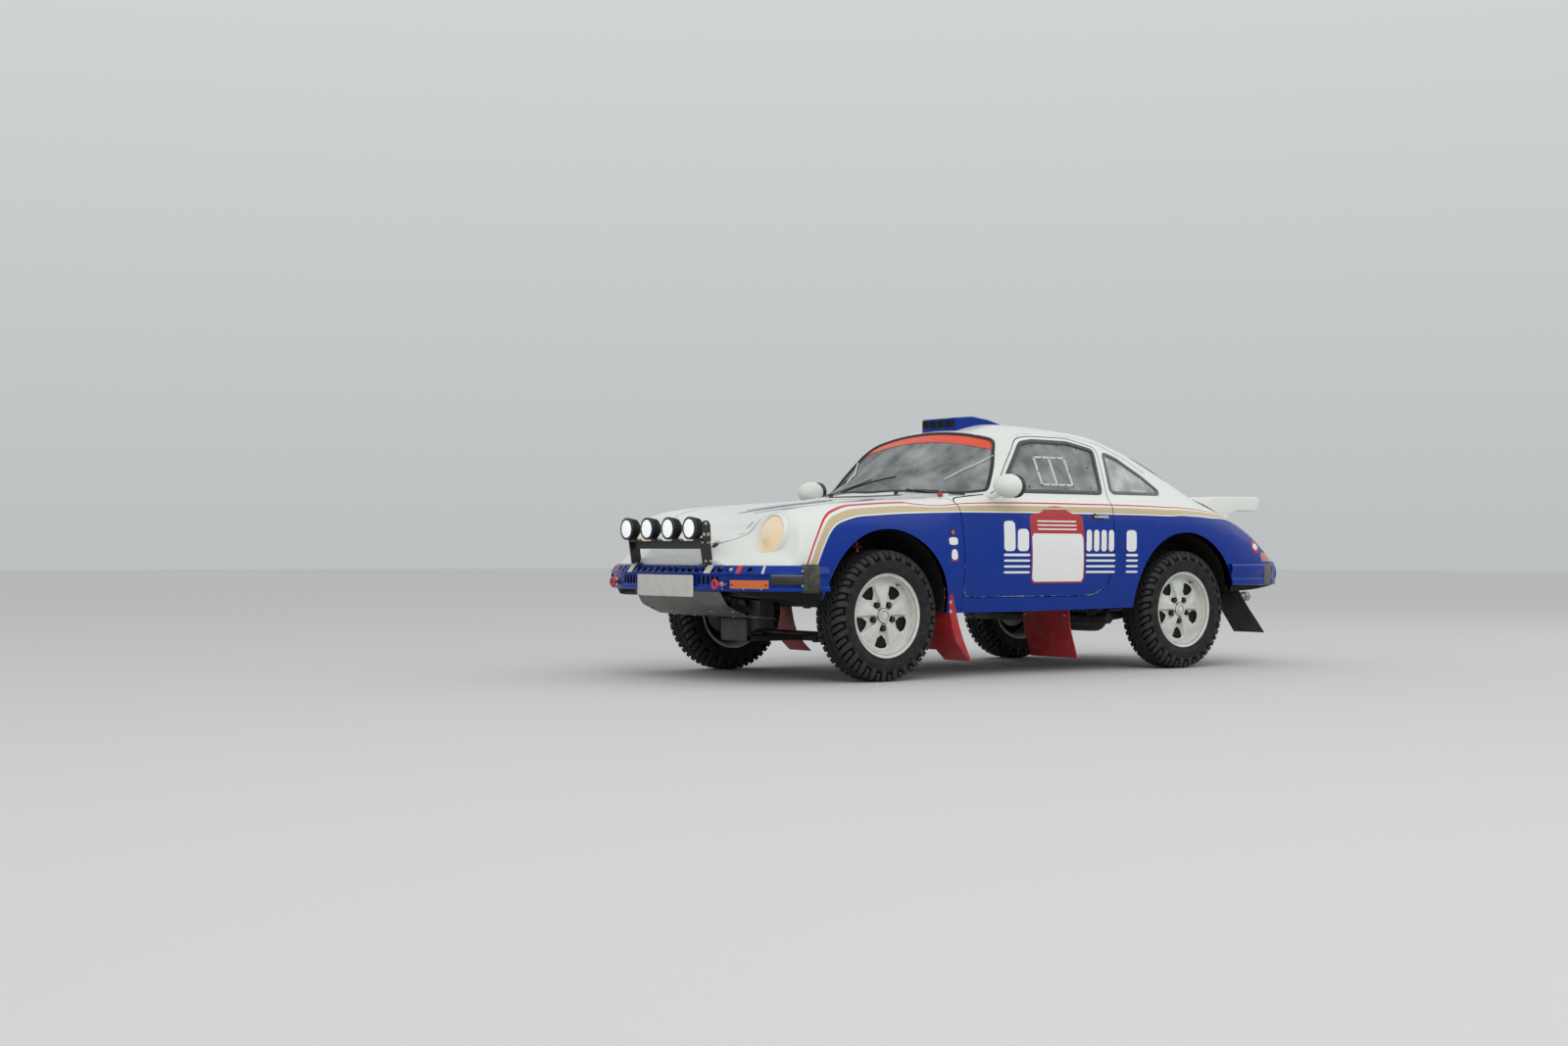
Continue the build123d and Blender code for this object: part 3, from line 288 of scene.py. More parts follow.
class Shape:
    """Points, faces and material numbers of one mesh, gathered part by part."""

    def __init__(self):
        self.points, self.faces, self.marks = [], [], []

    def add(self, points, faces, mark=0):
        """Adds points and the faces over them, with one material number."""
        start = len(self.points)
        self.points.extend(tuple(p) for p in points)
        self.faces.extend(tuple(start + i for i in face) for face in faces)
        self.marks.extend([mark] * len(faces))

    def loft(self, rings, mark=0, caps=True, around=False):
        """Skins a list of point rings. around joins the last ring to the first."""
        rows, columns = len(rings), len(rings[0])
        points = [p for ring in rings for p in ring]
        faces = []
        for i in range(rows if around else rows - 1):
            k = (i + 1) % rows
            for j in range(columns):
                m = (j + 1) % columns
                faces.append((i * columns + j, i * columns + m, k * columns + m, k * columns + j))
        if caps and not around:
            faces.append(tuple(range(columns)))
            faces.append(tuple(range((rows - 1) * columns, rows * columns)))
        self.add(points, faces, mark)

    def lathe(self, profile, origin, axis, segments=48, mark=0):
        """Turns a closed profile of (distance along, radius) pairs about an axis."""
        self.loft(turned_rings(profile, origin, axis, segments), mark, around=True)

    def solid(self, profile, origin, axis, segments=32, mark=0):
        """A turned body with flat or pointed ends closed at the axis."""
        self.loft(turned_rings(profile, origin, axis, segments), mark)

    def rod(self, start, end, radius, mark=0, segments=16):
        """A round bar between two points."""
        start, end = Vector(start), Vector(end)
        self.solid([(0, radius), ((end - start).length, radius)], start, end - start, segments, mark)

    def tube(self, path, radius, mark=0, segments=12, smooth=0):
        """A round tube along a path, whose corners are first rounded."""
        path = [Vector(p) for p in path]
        for _ in range(smooth):
            finer = [path[0]]
            for a, b in zip(path, path[1:]):
                finer += [a.lerp(b, 0.25), a.lerp(b, 0.75)]
            path = finer + [path[-1]]
        up = Vector((0.13, 0.21, 1)).normalized()
        rings = []
        for i, p in enumerate(path):
            ahead = (path[min(i + 1, len(path) - 1)] - path[max(i - 1, 0)]).normalized()
            side = ahead.cross(up).normalized()
            up = side.cross(ahead)
            rings.append([p + (side * cos(a) + up * sin(a)) * radius for a in
                          [2 * pi * k / segments for k in range(segments)]])
        self.loft(rings, mark)

    def prism(self, outline, low, high, axis="y", mark=0):
        """Extrudes an outline of (place, z) pairs along y, (place, y) along z or (y, z) along place."""
        order = {"y": lambda a, b, t: (a, t, b), "z": lambda a, b, t: (a, b, t), "p": lambda a, b,
                 t: (t, a, b)}[axis]
        self.loft([[order(a, b, t) for a, b in outline] for t in (low, high)], mark)

    def side_prism(self, outline, sign, near, far, mark=0):
        """A prism along y on one side of the car, between two distances from the centre line."""
        low, high = sorted((sign * near, sign * far))
        self.prism(outline, low, high, "y", mark)

    def box(self, places, ys, zs, mark=0):
        """A block between pairs of places, y values and heights."""
        (a, b), (c, d), (e, f) = places, ys, zs
        self.prism(rectangle(a, b, e, f), c, d, "y", mark)


def turn_frame(origin, axis):
    """An origin, its axis of unit length and two directions square to it."""
    axis = Vector(axis).normalized()
    side = axis.cross(Vector((0, 0, 1)) if abs(axis.z) < 0.9 else Vector((0, 1, 0))).normalized()
    return Vector(origin), axis, side, axis.cross(side)


def turned_rings(profile, origin, axis, segments):
    """Rings of points about an axis, one for each (distance along, radius)."""
    origin, axis, side, up = turn_frame(origin, axis)
    angles = [2 * pi * i / segments for i in range(segments)]
    return [[origin + axis * along + (side * cos(a) + up * sin(a)) * radius for a in angles]
            for along, radius in profile]


def circle(count):
    """Angles evenly spread round a circle."""
    return np.linspace(0, 2 * pi, count + 1)[:-1]


def behind(points):
    """Points given behind the rear axle, as places behind the front one."""
    return [(REAR_AXLE + p[0], *p[1:]) for p in points]


def rectangle(a, b, low, high):
    """The outline between two places and two heights, or two other plane values."""
    return [(a, low), (b, low), (b, high), (a, high)]


def on_side(points, sign):
    """The left side's points or normals as they are, or mirrored for the right side."""
    return points * np.array([1.0, sign, 1.0])


def mirrored(points):
    return [(p[0], -p[1], p[2]) for p in points]


def make(name, points, faces, marks, materials, body, replaces=(), slot=None, soft=35.0, bevel=0.0,
         recalc=True):
    """A Blender object from millimetre points, riding on a body."""
    mesh = bpy.data.meshes.new(name)
    mesh.from_pydata([tuple(p) for p in to_world(points)], [], faces)
    for material in materials:
        mesh.materials.append(MAT[material])
    mesh.polygons.foreach_set("material_index", marks)
    if recalc:
        bm = bmesh.new()
        bm.from_mesh(mesh)
        bmesh.ops.recalc_face_normals(bm, faces=bm.faces)
        bm.to_mesh(mesh)
        bm.free()
    mesh.shade_smooth()
    if soft:
        mesh.set_sharp_from_angle(angle=radians(soft))
    piece = bpy.data.objects.new(name, mesh)
    bpy.context.scene.collection.objects.link(piece)
    if bevel:
        cut = piece.modifiers.new("edges", "BEVEL")
        cut.width = bevel * MM
        cut.segments = 2
        cut.limit_method = "ANGLE"
        cut.angle_limit = radians(40)
        cut.harden_normals = True
    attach(piece, body)
    if replaces:
        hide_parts(*replaces)
    return piece


def build(shape, name, materials, body, **settings):
    """A Blender object from a shape."""
    return make(name, shape.points, shape.faces, shape.marks, materials, body, **settings)


# The body's cross sections, as half widths and heights. The last three columns round the corners
# at crest, sill and rail by that length each way.
Row = namedtuple(
    "Row",
    "place low_z low_y wide_z wide_y crest_z crest_y sill_z sill_y rail_z rail_y mid_z "
    "crest_soft sill_soft rail_soft",
)
ROWS = [
    Row(-800, 128, 500, 200, 560, 250, 520, 290, 400, 310, 210, 318, 25, 40, 60),
    Row(-720, 98, 680, 215, 715, 275, 680, 315, 560, 390, 300, 402, 40, 60, 80),
    Row(-625, 90, 735, 240, 778, 320, 745, 375, 600, 425, 400, 452, 50, 75, 90),
    Row(-560, 88, 752, 250, 797, 470, 746, 535, 605, 500, 430, 484, 60, 70, 90),
    Row(-400, 88, 782, 290, 812, 508, 755, 572, 610, 546, 400, 530, 70, 70, 95),
    Row(0, 60, 795, 348, 824, 543, 770, 606, 620, 592, 420, 584, 70, 70, 95),
    Row(400, 8, 785, 348, 816, 563, 770, 626, 640, 632, 420, 630, 50, 50, 90),
    Row(500, 8, 782, 344, 814, 576, 773, 633, 668, 654, 300, 658, 35, 30, 60),
    Row(560, 8, 780, 340, 813, 583, 775, 636, 690, 663, 330, 702, 28, 20, 50),
    Row(660, 8, 780, 340, 813, 589, 778, 638, 710, 660, 551, 775, 26, 16, 30),
    Row(755, 8, 780, 340, 813, 592, 780, 640, 726, 668, 690, 844, 25, 12, 20),
    Row(868, 8, 780, 340, 813, 595, 781, 641, 736, 796, 648, 938, 25, 12, 30),
    Row(960, 8, 780, 340, 813, 596, 782, 642, 745, 915, 600, 1010, 25, 12, 45),
    Row(1020, 9, 780, 342, 813, 597, 782, 642, 746, 960, 590, 1034, 25, 12, 50),
    Row(1300, 12, 780, 350, 813, 598, 784, 644, 748, 1010, 578, 1085, 25, 12, 55),
    Row(1650, 16, 782, 360, 816, 598, 788, 645, 744, 1000, 562, 1070, 25, 14, 55),
    Row(2000, 22, 786, 380, 820, 594, 792, 648, 722, 922, 535, 1005, 30, 22, 60),
    Row(REAR_AXLE, 60, 798, 398, 828, 582, 800, 645, 690, 830, 512, 920, 50, 45, 80),
    Row(REAR_AXLE + 328, 98, 798, 398, 820, 543, 785, 606, 660, 690, 480, 778, 60, 60, 80),
    Row(REAR_AXLE + 628, 113, 768, 320, 788, 450, 742, 508, 615, 542, 430, 583, 60, 60, 80),
    Row(REAR_AXLE + 808, 128, 722, 280, 742, 358, 700, 396, 590, 420, 420, 446, 45, 50, 70),
    Row(REAR_AXLE + 918, 138, 676, 250, 700, 298, 660, 320, 560, 336, 400, 346, 20, 25, 40),
]


def slopes(x, y):
    """Slopes of a curve through the points that never overshoots them."""
    step = np.diff(x)[:, None]
    rise = np.diff(y, axis=0) / step
    found = np.zeros_like(y)
    found[0], found[-1] = rise[0], rise[-1]
    before, after = rise[:-1], rise[1:]
    w1, w2 = 2 * step[1:] + step[:-1], step[1:] + 2 * step[:-1]
    same = before * after > 0
    mean = (w1 + w2) / (w1 / np.where(same, before, 1) + w2 / np.where(same, after, 1))
    found[1:-1] = np.where(same, mean, 0)
    return found


def smooth_curve(x, y, at):
    """A smooth curve through the points (x, y), y with any number of columns, read at the given places."""
    x, y, at = np.asarray(x, float), np.asarray(y, float), np.asarray(at, float)
    y = y.reshape(len(x), -1)
    m = slopes(x, y)
    i = np.clip(np.searchsorted(x, at, side="right") - 1, 0, len(x) - 2)
    h = (x[i + 1] - x[i])[:, None]
    t = ((at - x[i])[:, None]) / h
    return (
        (2 * t**3 - 3 * t**2 + 1) * y[i] + (t**3 - 2 * t**2 + t) * h * m[i]
        + (3 * t**2 - 2 * t**3) * y[i + 1] + (t**3 - t**2) * h * m[i + 1]
    )


def circle_through(a, b, c):
    """Centre and radius of the circles through three sets of plane points."""
    d = 2 * ((b - a)[:, 0] * (c - a)[:, 1] - (b - a)[:, 1] * (c - a)[:, 0])
    ab, ac = ((b - a) ** 2).sum(1), ((c - a) ** 2).sum(1)
    ux = ((c - a)[:, 1] * ab - (b - a)[:, 1] * ac) / d
    uy = ((b - a)[:, 0] * ac - (c - a)[:, 0] * ab) / d
    centre = a + np.stack([ux, uy], 1)
    return centre, np.sqrt(ux**2 + uy**2)


def arc(centre, radius, start, end, shares):
    """Points on arcs from start to end, the short way round."""
    a0 = np.arctan2(start[:, 1] - centre[:, 1], start[:, 0] - centre[:, 0])
    a1 = np.arctan2(end[:, 1] - centre[:, 1], end[:, 0] - centre[:, 0])
    turn = (a1 - a0 + pi) % (2 * pi) - pi
    angle = a0[:, None] + turn[:, None] * shares
    flat = np.stack([np.cos(angle), np.sin(angle)], 2) * radius[:, None, None]
    return centre[:, None, :] + flat, np.abs(turn) * radius


def corner(before, at, after, count):
    """A rounded corner between two points, drawn towards the corner point."""
    t = np.linspace(0, 1, count)[None, :, None]
    b, a, c = before[:, None], at[:, None], after[:, None]
    return (1 - t) ** 2 * b + 2 * t * (1 - t) * a + t**2 * c


# Points on each part of a half section, from the lower edge to the centre line
SIDE, ROUND, SHOULDER, EDGE, FACE, BEND, TOP = 24, 9, 4, 6, 15, 8, 18


def half_sections(places):
    """The left half of the skin's cross sections, from the lower edge up to the centre line."""
    table = smooth_curve([r.place for r in ROWS], [r[1:] for r in ROWS], places)
    r = Row(places, *table.T)

    def pair(y, z):
        return np.stack([y, z], 1)

    low, wide, crest = pair(r.low_y, r.low_z), pair(r.wide_y, r.wide_z), pair(r.crest_y, r.crest_z)
    sill, rail, mid = pair(r.sill_y, r.sill_z), pair(r.rail_y, r.rail_z), pair(0 * r.mid_z, r.mid_z)

    def toward(a, b, length):
        reach = np.linalg.norm(b - a, axis=1)
        return a + (b - a) / reach[:, None] * np.minimum(length, 0.46 * reach)[:, None]

    centre, radius = circle_through(low, wide, crest)
    _, length = arc(centre, radius, low, crest, np.ones(1)[None])
    trim = 1 - np.minimum(r.crest_soft / length, 0.3)
    side, _ = arc(centre, radius, low, crest, np.linspace(0, 1, SIDE)[None] * trim[:, None])
    shoulder_start, shoulder_end = toward(crest, sill, r.crest_soft), toward(sill, crest, r.sill_soft)
    face_start, face_end = toward(sill, rail, r.sill_soft), toward(rail, sill, r.rail_soft)
    mirror_rail = rail * np.array([-1.0, 1.0])
    roof_centre, roof_radius = circle_through(rail, mid + np.array([0, 1e-3]), mirror_rail)
    _, length = arc(roof_centre, roof_radius, rail, mid, np.ones(1)[None])
    trim = np.minimum(r.rail_soft / length, 0.4)
    shares = trim[:, None] + np.linspace(0, 1, TOP)[None] * (1 - trim[:, None])
    top, _ = arc(roof_centre, roof_radius, rail, mid, shares)
    steps = np.linspace(0, 1, SHOULDER + 2)[None, 1:-1, None]
    shoulder = shoulder_start[:, None] * (1 - steps) + shoulder_end[:, None] * steps
    steps = np.linspace(0, 1, FACE + 2)[None, 1:-1, None]
    face = face_start[:, None] * (1 - steps) + face_end[:, None] * steps
    parts = [
        side[:, :-1], corner(side[:, -1], crest, shoulder_start, ROUND), shoulder,
        corner(shoulder_end, sill, face_start, EDGE), face, corner(face_end, rail, top[:, 0], BEND),
        top[:, 1:],
    ]
    return np.concatenate(parts, 1)


# Headlamp buckets, which the fender's skin is drawn out to meet
LAMP = Vector((-592, 592, 412))
LAMP_RADIUS = 114.0
LAMP_INSET = 8
LAMP_TILT = radians(14)
LAMP_AXIS = Vector((-cos(LAMP_TILT), 0, sin(LAMP_TILT)))
LAMP_BLEND = 22.0
LAMP_REACH = 130
# Distance between the skin's sections, and the rounding of its two ends
STEP = 14.0
NOSE_ROUND = 16.0


def lamp_coordinates(points):
    """Distance ahead of the lamp's rim plane and distance from its axis."""
    offset = points - np.array(LAMP)
    along = offset @ np.array(LAMP_AXIS)
    across = offset - along[..., None] * np.array(LAMP_AXIS)
    return along, np.linalg.norm(across, axis=-1)


def drawn_to_lamp(points, normals):
    """Skin points pushed out along their normals until they clear a tapering drum behind the headlamp."""
    moved = points.copy()
    shift = np.zeros(points.shape[:-1])
    for _ in range(14):
        along, radial = lamp_coordinates(moved)
        radius = LAMP_RADIUS + 2 - 0.16 * np.clip(-along - 20, 0,
                                                  400) - 0.0007 * np.clip(-along - 60, 0, 400) ** 2
        gap = np.maximum(radial - radius, along)
        blend = np.clip(0.5 + 0.5 * (gap - shift) / LAMP_BLEND, 0, 1)
        union = gap + (shift - gap) * blend - LAMP_BLEND * blend * (1 - blend)
        shift = shift - np.where(union < 0, union, 0) * 0.8
        shift = np.clip(shift, 0, LAMP_REACH)
        moved = points + normals * shift[..., None]
    return moved


def grid_normals(points):
    """Outward normals of a grid of skin points."""
    along = np.gradient(points, axis=0)
    across = np.gradient(points, axis=1)
    normal = np.cross(across, along)
    return normal / np.maximum(np.linalg.norm(normal, axis=2, keepdims=True), 1e-9)


# From this place on the edge of the blue follows the crest
CREST_BAND_START = 2100
# The edge of the blue, seen from the side, as (place, height); above it follow the stripes
BLUE_EDGE = [
    (-520, 160), (-505, 210), (-489, 263), (-455, 338), (-410, 407), (-370, 452), (-322, 480), (-201, 514),
    (62, 532), (300, 541), (506, 546), (1000, 549), (1640, 549), (1900, 548), (2180, 544),
]


def line_distance(points, line):
    """Signed distance of plane points from a long open line, positive on its left."""
    line = np.asarray(line, float)
    best = np.full(len(points), 1e9)
    sign = np.ones(len(points))
    for a, b in zip(line, line[1:]):
        edge = b - a
        offset = points - a
        t = np.clip((offset @ edge) / (edge @ edge), 0, 1)
        away = offset - t[:, None] * edge
        d = np.linalg.norm(away, axis=1)
        side = np.where(edge[0] * offset[:, 1] - edge[1] * offset[:, 0] >= 0, 1.0, -1.0)
        nearer = d < best - 1e-6
        best = np.where(nearer, d, best)
        sign = np.where(nearer, side, sign)
    return best * sign


def softened(points, cut, closed=True, steps=5):
    """A polygon with its corners rounded by a length each way."""
    points = [Vector(p) for p in points]
    found = []
    n = len(points)
    for i, p in enumerate(points):
        if not closed and i in (0, n - 1):
            found.append(tuple(p))
            continue
        a, b = points[i - 1], points[(i + 1) % n]
        reach = min(cut, 0.45 * (a - p).length, 0.45 * (b - p).length)
        start, end = p + (a - p).normalized() * reach, p + (b - p).normalized() * reach
        for k in range(steps + 1):
            t = k / steps
            found.append(tuple(start * (1 - t) ** 2 + p * 2 * t * (1 - t) + end * t * t))
    return found


def polygon_distance(points, polygon):
    """Signed distance of plane points from a closed polygon, negative inside."""
    polygon = np.asarray(polygon, float)
    best = np.full(len(points), 1e9)
    inside = np.zeros(len(points), bool)
    for a, b in zip(polygon, np.roll(polygon, -1, axis=0)):
        edge = b - a
        offset = points - a
        t = np.clip((offset @ edge) / max(edge @ edge, 1e-9), 0, 1)
        best = np.minimum(best, np.linalg.norm(offset - t[:, None] * edge, axis=1))
        crosses = (a[1] > points[:, 1]) != (b[1] > points[:, 1])
        x = a[0] + (points[:, 1] - a[1]) * edge[0] / (edge[1] if abs(edge[1]) > 1e-12 else 1e-12)
        inside ^= crosses & (points[:, 0] < x)
    return np.where(inside, -best, best)


# Columns of the skin's table of points
POS, NRM, BAND = slice(0, 3), slice(3, 6), 6
# A band value within the blue, for panels that carry no stripes
NO_STRIPES = -50.0
# Distances that stand for well outside a field, and for paint far from a chipped edge
FAR_OFF = 500.0
NO_CHIPS = 100.0


def skin_table(grid, normals, band):
    """A table with a row for each point of a grid, from its normals and its band, one value or a grid."""
    band = np.broadcast_to(band, grid.shape[:2])[..., None]
    return np.concatenate([grid, normals, band], 2).reshape(-1, 7)


def grid_faces(rows, columns, around=False):
    """Quads of a grid of points, row by row. around joins its last row to the first."""
    faces = []
    for i in range(rows if around else rows - 1):
        k = (i + 1) % rows
        faces += [(i * columns + j, i * columns + j + 1, k * columns + j + 1, k * columns + j)
                  for j in range(columns - 1)]
    return faces


class Patch:
    """Polygons with labels over a table of points, which fields cut along their zero lines."""

    def __init__(self, table, faces, label):
        self.table, self.faces, self.labels = table, faces, [label] * len(faces)

    def cut(self, field, source, inside):
        """Relabels the part of the source where the field is negative, splitting faces along its edge."""
        values = field(self.table[:, POS])
        values = np.where(np.abs(values) < 0.05, 0.05, values)
        negative = values < 0
        made, rows = {}, []
        count = len(self.table)

        def between(a, b):
            key = (a, b) if a < b else (b, a)
            if key not in made:
                t = values[key[0]] / (values[key[0]] - values[key[1]])
                rows.append(self.table[key[0]] * (1 - t) + self.table[key[1]] * t)
                made[key] = count + len(rows) - 1
            return made[key]

        faces, labels = [], []
        for face, label in zip(self.faces, self.labels):
            signs = [negative[i] for i in face] if label == source else None
            if signs is None or not any(signs):
                faces.append(face)
                labels.append(label)
            elif all(signs):
                faces.append(face)
                labels.append(inside)
            else:
                halves = ([], [])
                for k, a in enumerate(face):
                    b = face[(k + 1) % len(face)]
                    halves[int(negative[a])].append(a)
                    if negative[a] != negative[b]:
                        m = between(a, b)
                        halves[0].append(m)
                        halves[1].append(m)
                for half, half_label in zip(halves, (source, inside)):
                    if len(half) > 2:
                        faces.append(tuple(half))
                        labels.append(half_label)
        self.faces, self.labels = faces, labels
        if rows:
            self.table = np.vstack([self.table, rows])

    def take(self, label):
        """The points and faces with a label."""
        faces = [f for f, l in zip(self.faces, self.labels) if l == label]
        used = sorted({i for f in faces for i in f})
        index = {old: new for new, old in enumerate(used)}
        return self.table[used].copy(), [tuple(index[i] for i in f) for f in faces]


class Skin(Patch):
    """The left half of the outer skin."""

    def __init__(self):
        places = np.arange(ROWS[0].place, ROWS[-1].place + 1, STEP)
        places[-1] = ROWS[-1].place
        flat = half_sections(places)
        grid = np.concatenate([np.broadcast_to(places[:, None, None], flat.shape[:2] + (1,)), flat], 2)
        normals = grid_normals(grid)
        grid = drawn_to_lamp(grid, normals)
        grid[:, -1, 1] = 0
        arc_length = np.concatenate(
            [np.zeros((len(places), 1)), np.cumsum(np.linalg.norm(np.diff(flat, axis=1), axis=2), 1)], 1)
        ends = [self.end_rings(grid[0], -1), self.end_rings(grid[-1], 1)]
        grid = np.concatenate([ends[0][::-1], grid, ends[1]], 0)
        arc_length = np.concatenate([arc_length[:1].repeat(len(ends[0]), 0), arc_length,
                                     arc_length[-1:].repeat(len(ends[1]), 0)], 0)
        normals = grid_normals(grid)
        band = self.band_field(grid, arc_length)
        rows, columns = grid.shape[:2]
        super().__init__(skin_table(grid, normals, band), grid_faces(rows, columns), "shell")

    @staticmethod
    def end_rings(section, sign):
        """Rings that round the body's end off and close it towards the centre line."""
        rings = []
        middle = (section[0, 2] + section[-1, 2]) / 2
        half = (section[-1, 2] - section[0, 2]) / 2
        for k in range(1, 5):
            angle = pi / 2 * k / 4
            inset = NOSE_ROUND * (1 - cos(angle))
            ring = section.copy()
            ring[:, 0] += sign * NOSE_ROUND * sin(angle)
            ring[:, 1] -= inset * np.minimum(1, section[:, 1] / 60)
            ring[:, 2] = middle + (section[:, 2] - middle) * (1 - inset / half)
            rings.append(ring)
        for k in range(1, 9):
            ring = rings[3].copy()
            ring[:, 1] *= 1 - k / 8
            rings.append(ring)
        return np.array(rings)

    @staticmethod
    def band_field(grid, arc_length):
        """Distance above the blue's edge: in side view at the front, along the skin at the rear."""
        rows, columns = grid.shape[:2]
        flat = grid.reshape(-1, 3)[:, [0, 2]]
        line = softened(BLUE_EDGE, 60, closed=False)
        front = line_distance(flat, line).reshape(rows, columns)
        rear = np.zeros_like(front)
        edge_places, heights = zip(*BLUE_EDGE)
        for i in range(rows):
            place = grid[i, 0, 0]
            height = np.interp(place, edge_places, heights)
            level = np.interp(height, grid[i, :SIDE + ROUND, 2], arc_length[i, :SIDE + ROUND])
            if place > CREST_BAND_START:
                crest = arc_length[i, SIDE + ROUND // 2]
                share = min(1.0, (place - CREST_BAND_START) / 160)
                share = share * share * (3 - 2 * share)
                offset = np.interp(place, [2100, 2300, 2500, 2700, 2950, 3190], [-45, -42, -30, 5, 30, 40])
                level = level * (1 - share) + (crest + offset) * share
            rear[i] = arc_length[i] - level
        share = np.clip((grid[..., 0] - 200) / 200, 0, 1)
        return front * (1 - share) + rear * share


def both_halves(table, faces):
    """A left half joined to its mirror image along the centre line."""
    centre = np.abs(table[:, 1]) < 0.01
    other = table.copy()
    other[:, [1, 4]] *= -1
    index = np.where(centre, np.arange(len(table)), len(table) + np.cumsum(~centre) - 1)
    faces = faces + [tuple(int(index[i]) for i in reversed(f)) for f in faces]
    return np.vstack([table, other[~centre]]), faces


def flipped(table, faces):
    """The mirror image of a left half."""
    other = table.copy()
    other[:, [1, 4]] *= -1
    return other, [tuple(reversed(f)) for f in faces]


def kept(table, faces):
    """A left half as it is."""
    return table, faces


# The sides' names with the sign of their y, and with what makes them from the left half
SIDES = (("left", 1), ("right", -1))
HALVES = (("left", kept), ("right", flipped))


def border(faces):
    """The directed edges that only one face has."""
    edges = {}
    for face in faces:
        for a, b in zip(face, face[1:] + face[:1]):
            edges[(a, b)] = True
    return [(a, b) for a, b in edges if (b, a) not in edges]


# Width of the rounded lip along a panel's edge
LIP = 1.6


def panel(name, table, faces, depth, body, materials=("livery", "livery", "inner"), edge=None, **settings):
    """A skin patch with a rounded lip, a rim and an inner face, depth millimetres thick."""
    n = len(table)
    outer, normal = table[:, POS], table[:, NRM]
    normal = np.nan_to_num(normal)
    normal = normal / np.maximum(np.linalg.norm(normal, axis=1, keepdims=True), 1e-9)
    depth = depth(outer) if callable(depth) else np.full(n, float(depth))
    inner = outer - normal * depth[:, None]
    rim_edges = border(faces)
    away = np.zeros((n, 3))
    for a, b in rim_edges:
        side = np.cross(outer[b] - outer[a], (normal[a] + normal[b]) / 2)
        side /= max(np.linalg.norm(side), 1e-9)
        away[a] -= side
        away[b] -= side
    rim = sorted({i for e in rim_edges for i in e})
    index = {old: k for k, old in enumerate(rim)}
    away = away[rim] / np.maximum(np.linalg.norm(away[rim], axis=1, keepdims=True), 1e-9)
    lip = outer[rim] + (away - normal[rim]) * LIP
    inner[rim] += away * LIP
    points = np.vstack([outer, inner, lip])
    polygons, marks, loops = [], [], []
    for face in faces:
        polygons.append(face)
        marks.append(0)
        loops += [normal[i] for i in face]
    for face in faces:
        polygons.append(tuple(n + i for i in reversed(face)))
        marks.append(2)
        loops += [-normal[i] for i in reversed(face)]
    for a, b in rim_edges:
        ia, ib = index[a], index[b]
        polygons.append((b, a, 2 * n + ia, 2 * n + ib))
        polygons.append((2 * n + ib, 2 * n + ia, n + a, n + b))
        marks += [0, 1]
        loops += [normal[b], normal[a], away[ia], away[ib], away[ib], away[ia], away[ia], away[ib]]
    piece = make(name, points, polygons, marks, materials, body, soft=0, recalc=False, **settings)
    # to_world mirrors the place axis, so the faces turn round and their corners' order with them
    piece.data.flip_normals()
    turned, at = [], 0
    for polygon in polygons:
        block = loops[at:at + len(polygon)]
        turned += [block[0]] + block[:0:-1]
        at += len(polygon)
    custom = np.array(turned) * np.array([-1.0, 1.0, 1.0])
    piece.data.normals_split_custom_set([tuple(v) for v in custom])
    band = np.concatenate([table[:, BAND], table[:, BAND], table[rim, BAND]])
    chips = np.full(len(points), NO_CHIPS) if edge is None else edge(points)
    for key, values in (("band", band), ("edge", chips)):
        piece.data.attributes.new(key, "FLOAT", "POINT").data.foreach_set("value", values.astype(np.float32))
    return piece


def side_field(polygon, low_y=0.0):
    """A field from a side-view outline."""
    return lambda p: np.where(p[:, 1] >= low_y, polygon_distance(p[:, [0, 2]], polygon), FAR_OFF)


def plan_field(polygon):
    """A field from an outline seen from above."""
    return lambda p: polygon_distance(p[:, [0, 1]], polygon)


def grown(field, amount):
    """A field with its zero line moved outwards."""
    return lambda p: field(p) - amount


def round_field(place, z, radius):
    """A field from a circle in side view."""
    return lambda p: np.hypot(p[:, 0] - place, p[:, 2] - z) - radius


# Outlines of the panels and windows
GAP = 4.5
PANE_INSET = 6.0
DOOR_FRONT = 506.0
ARCH_RADIUS = 415.0
ARCH_RISE = 38.0
ARCHES = ((-20.0, ARCH_RISE), (REAR_AXLE - 22, ARCH_RISE))
DOOR = softened([
    (DOOR_FRONT, 92), (DOOR_FRONT, 622), (810, 655), (1088, 972), (1190, 987), (1500, 985), (1730, 936),
    (1662, 640), (1640, 300), (1606, 150), (1500, 92),
], 42)
HOOD = softened([(-760, -250), (-760, 250), (-700, 345), (-560, 425), (-300, 500), (0, 560), (404, 622),
                 (404, -622)], 30)
STREAKS = [
    ("blue", [(-390, 60), (-120, 70), (120, 110), (380, 150), (380, 235), (120, 215), (-90, 165),
              (-230, 120)]),
    ("gold", [(-250, 150), (-90, 190), (120, 240), (380, 262), (380, 300), (110, 282), (-90, 238),
              (-200, 190)]),
    ("sticker_red", [(-640, 330), (-600, 352), (-560, 366), (-560, 384), (-610, 372), (-652, 344)]),
]
ENGINE_LID = softened([(2672, -385), (2672, 385), (2972, 425), (3072, 420), (3072, -420), (2972, -425)], 30)
DOOR_WINDOW = softened([(676, 672), (860, 672), (1110, 948), (1200, 962), (1490, 960), (1690, 922),
                        (1628, 672)], 22)
QUARTER_WINDOW = softened([(1712, 676), (1782, 912), (1900, 880), (2080, 780), (2178, 700), (2150, 676)], 26)

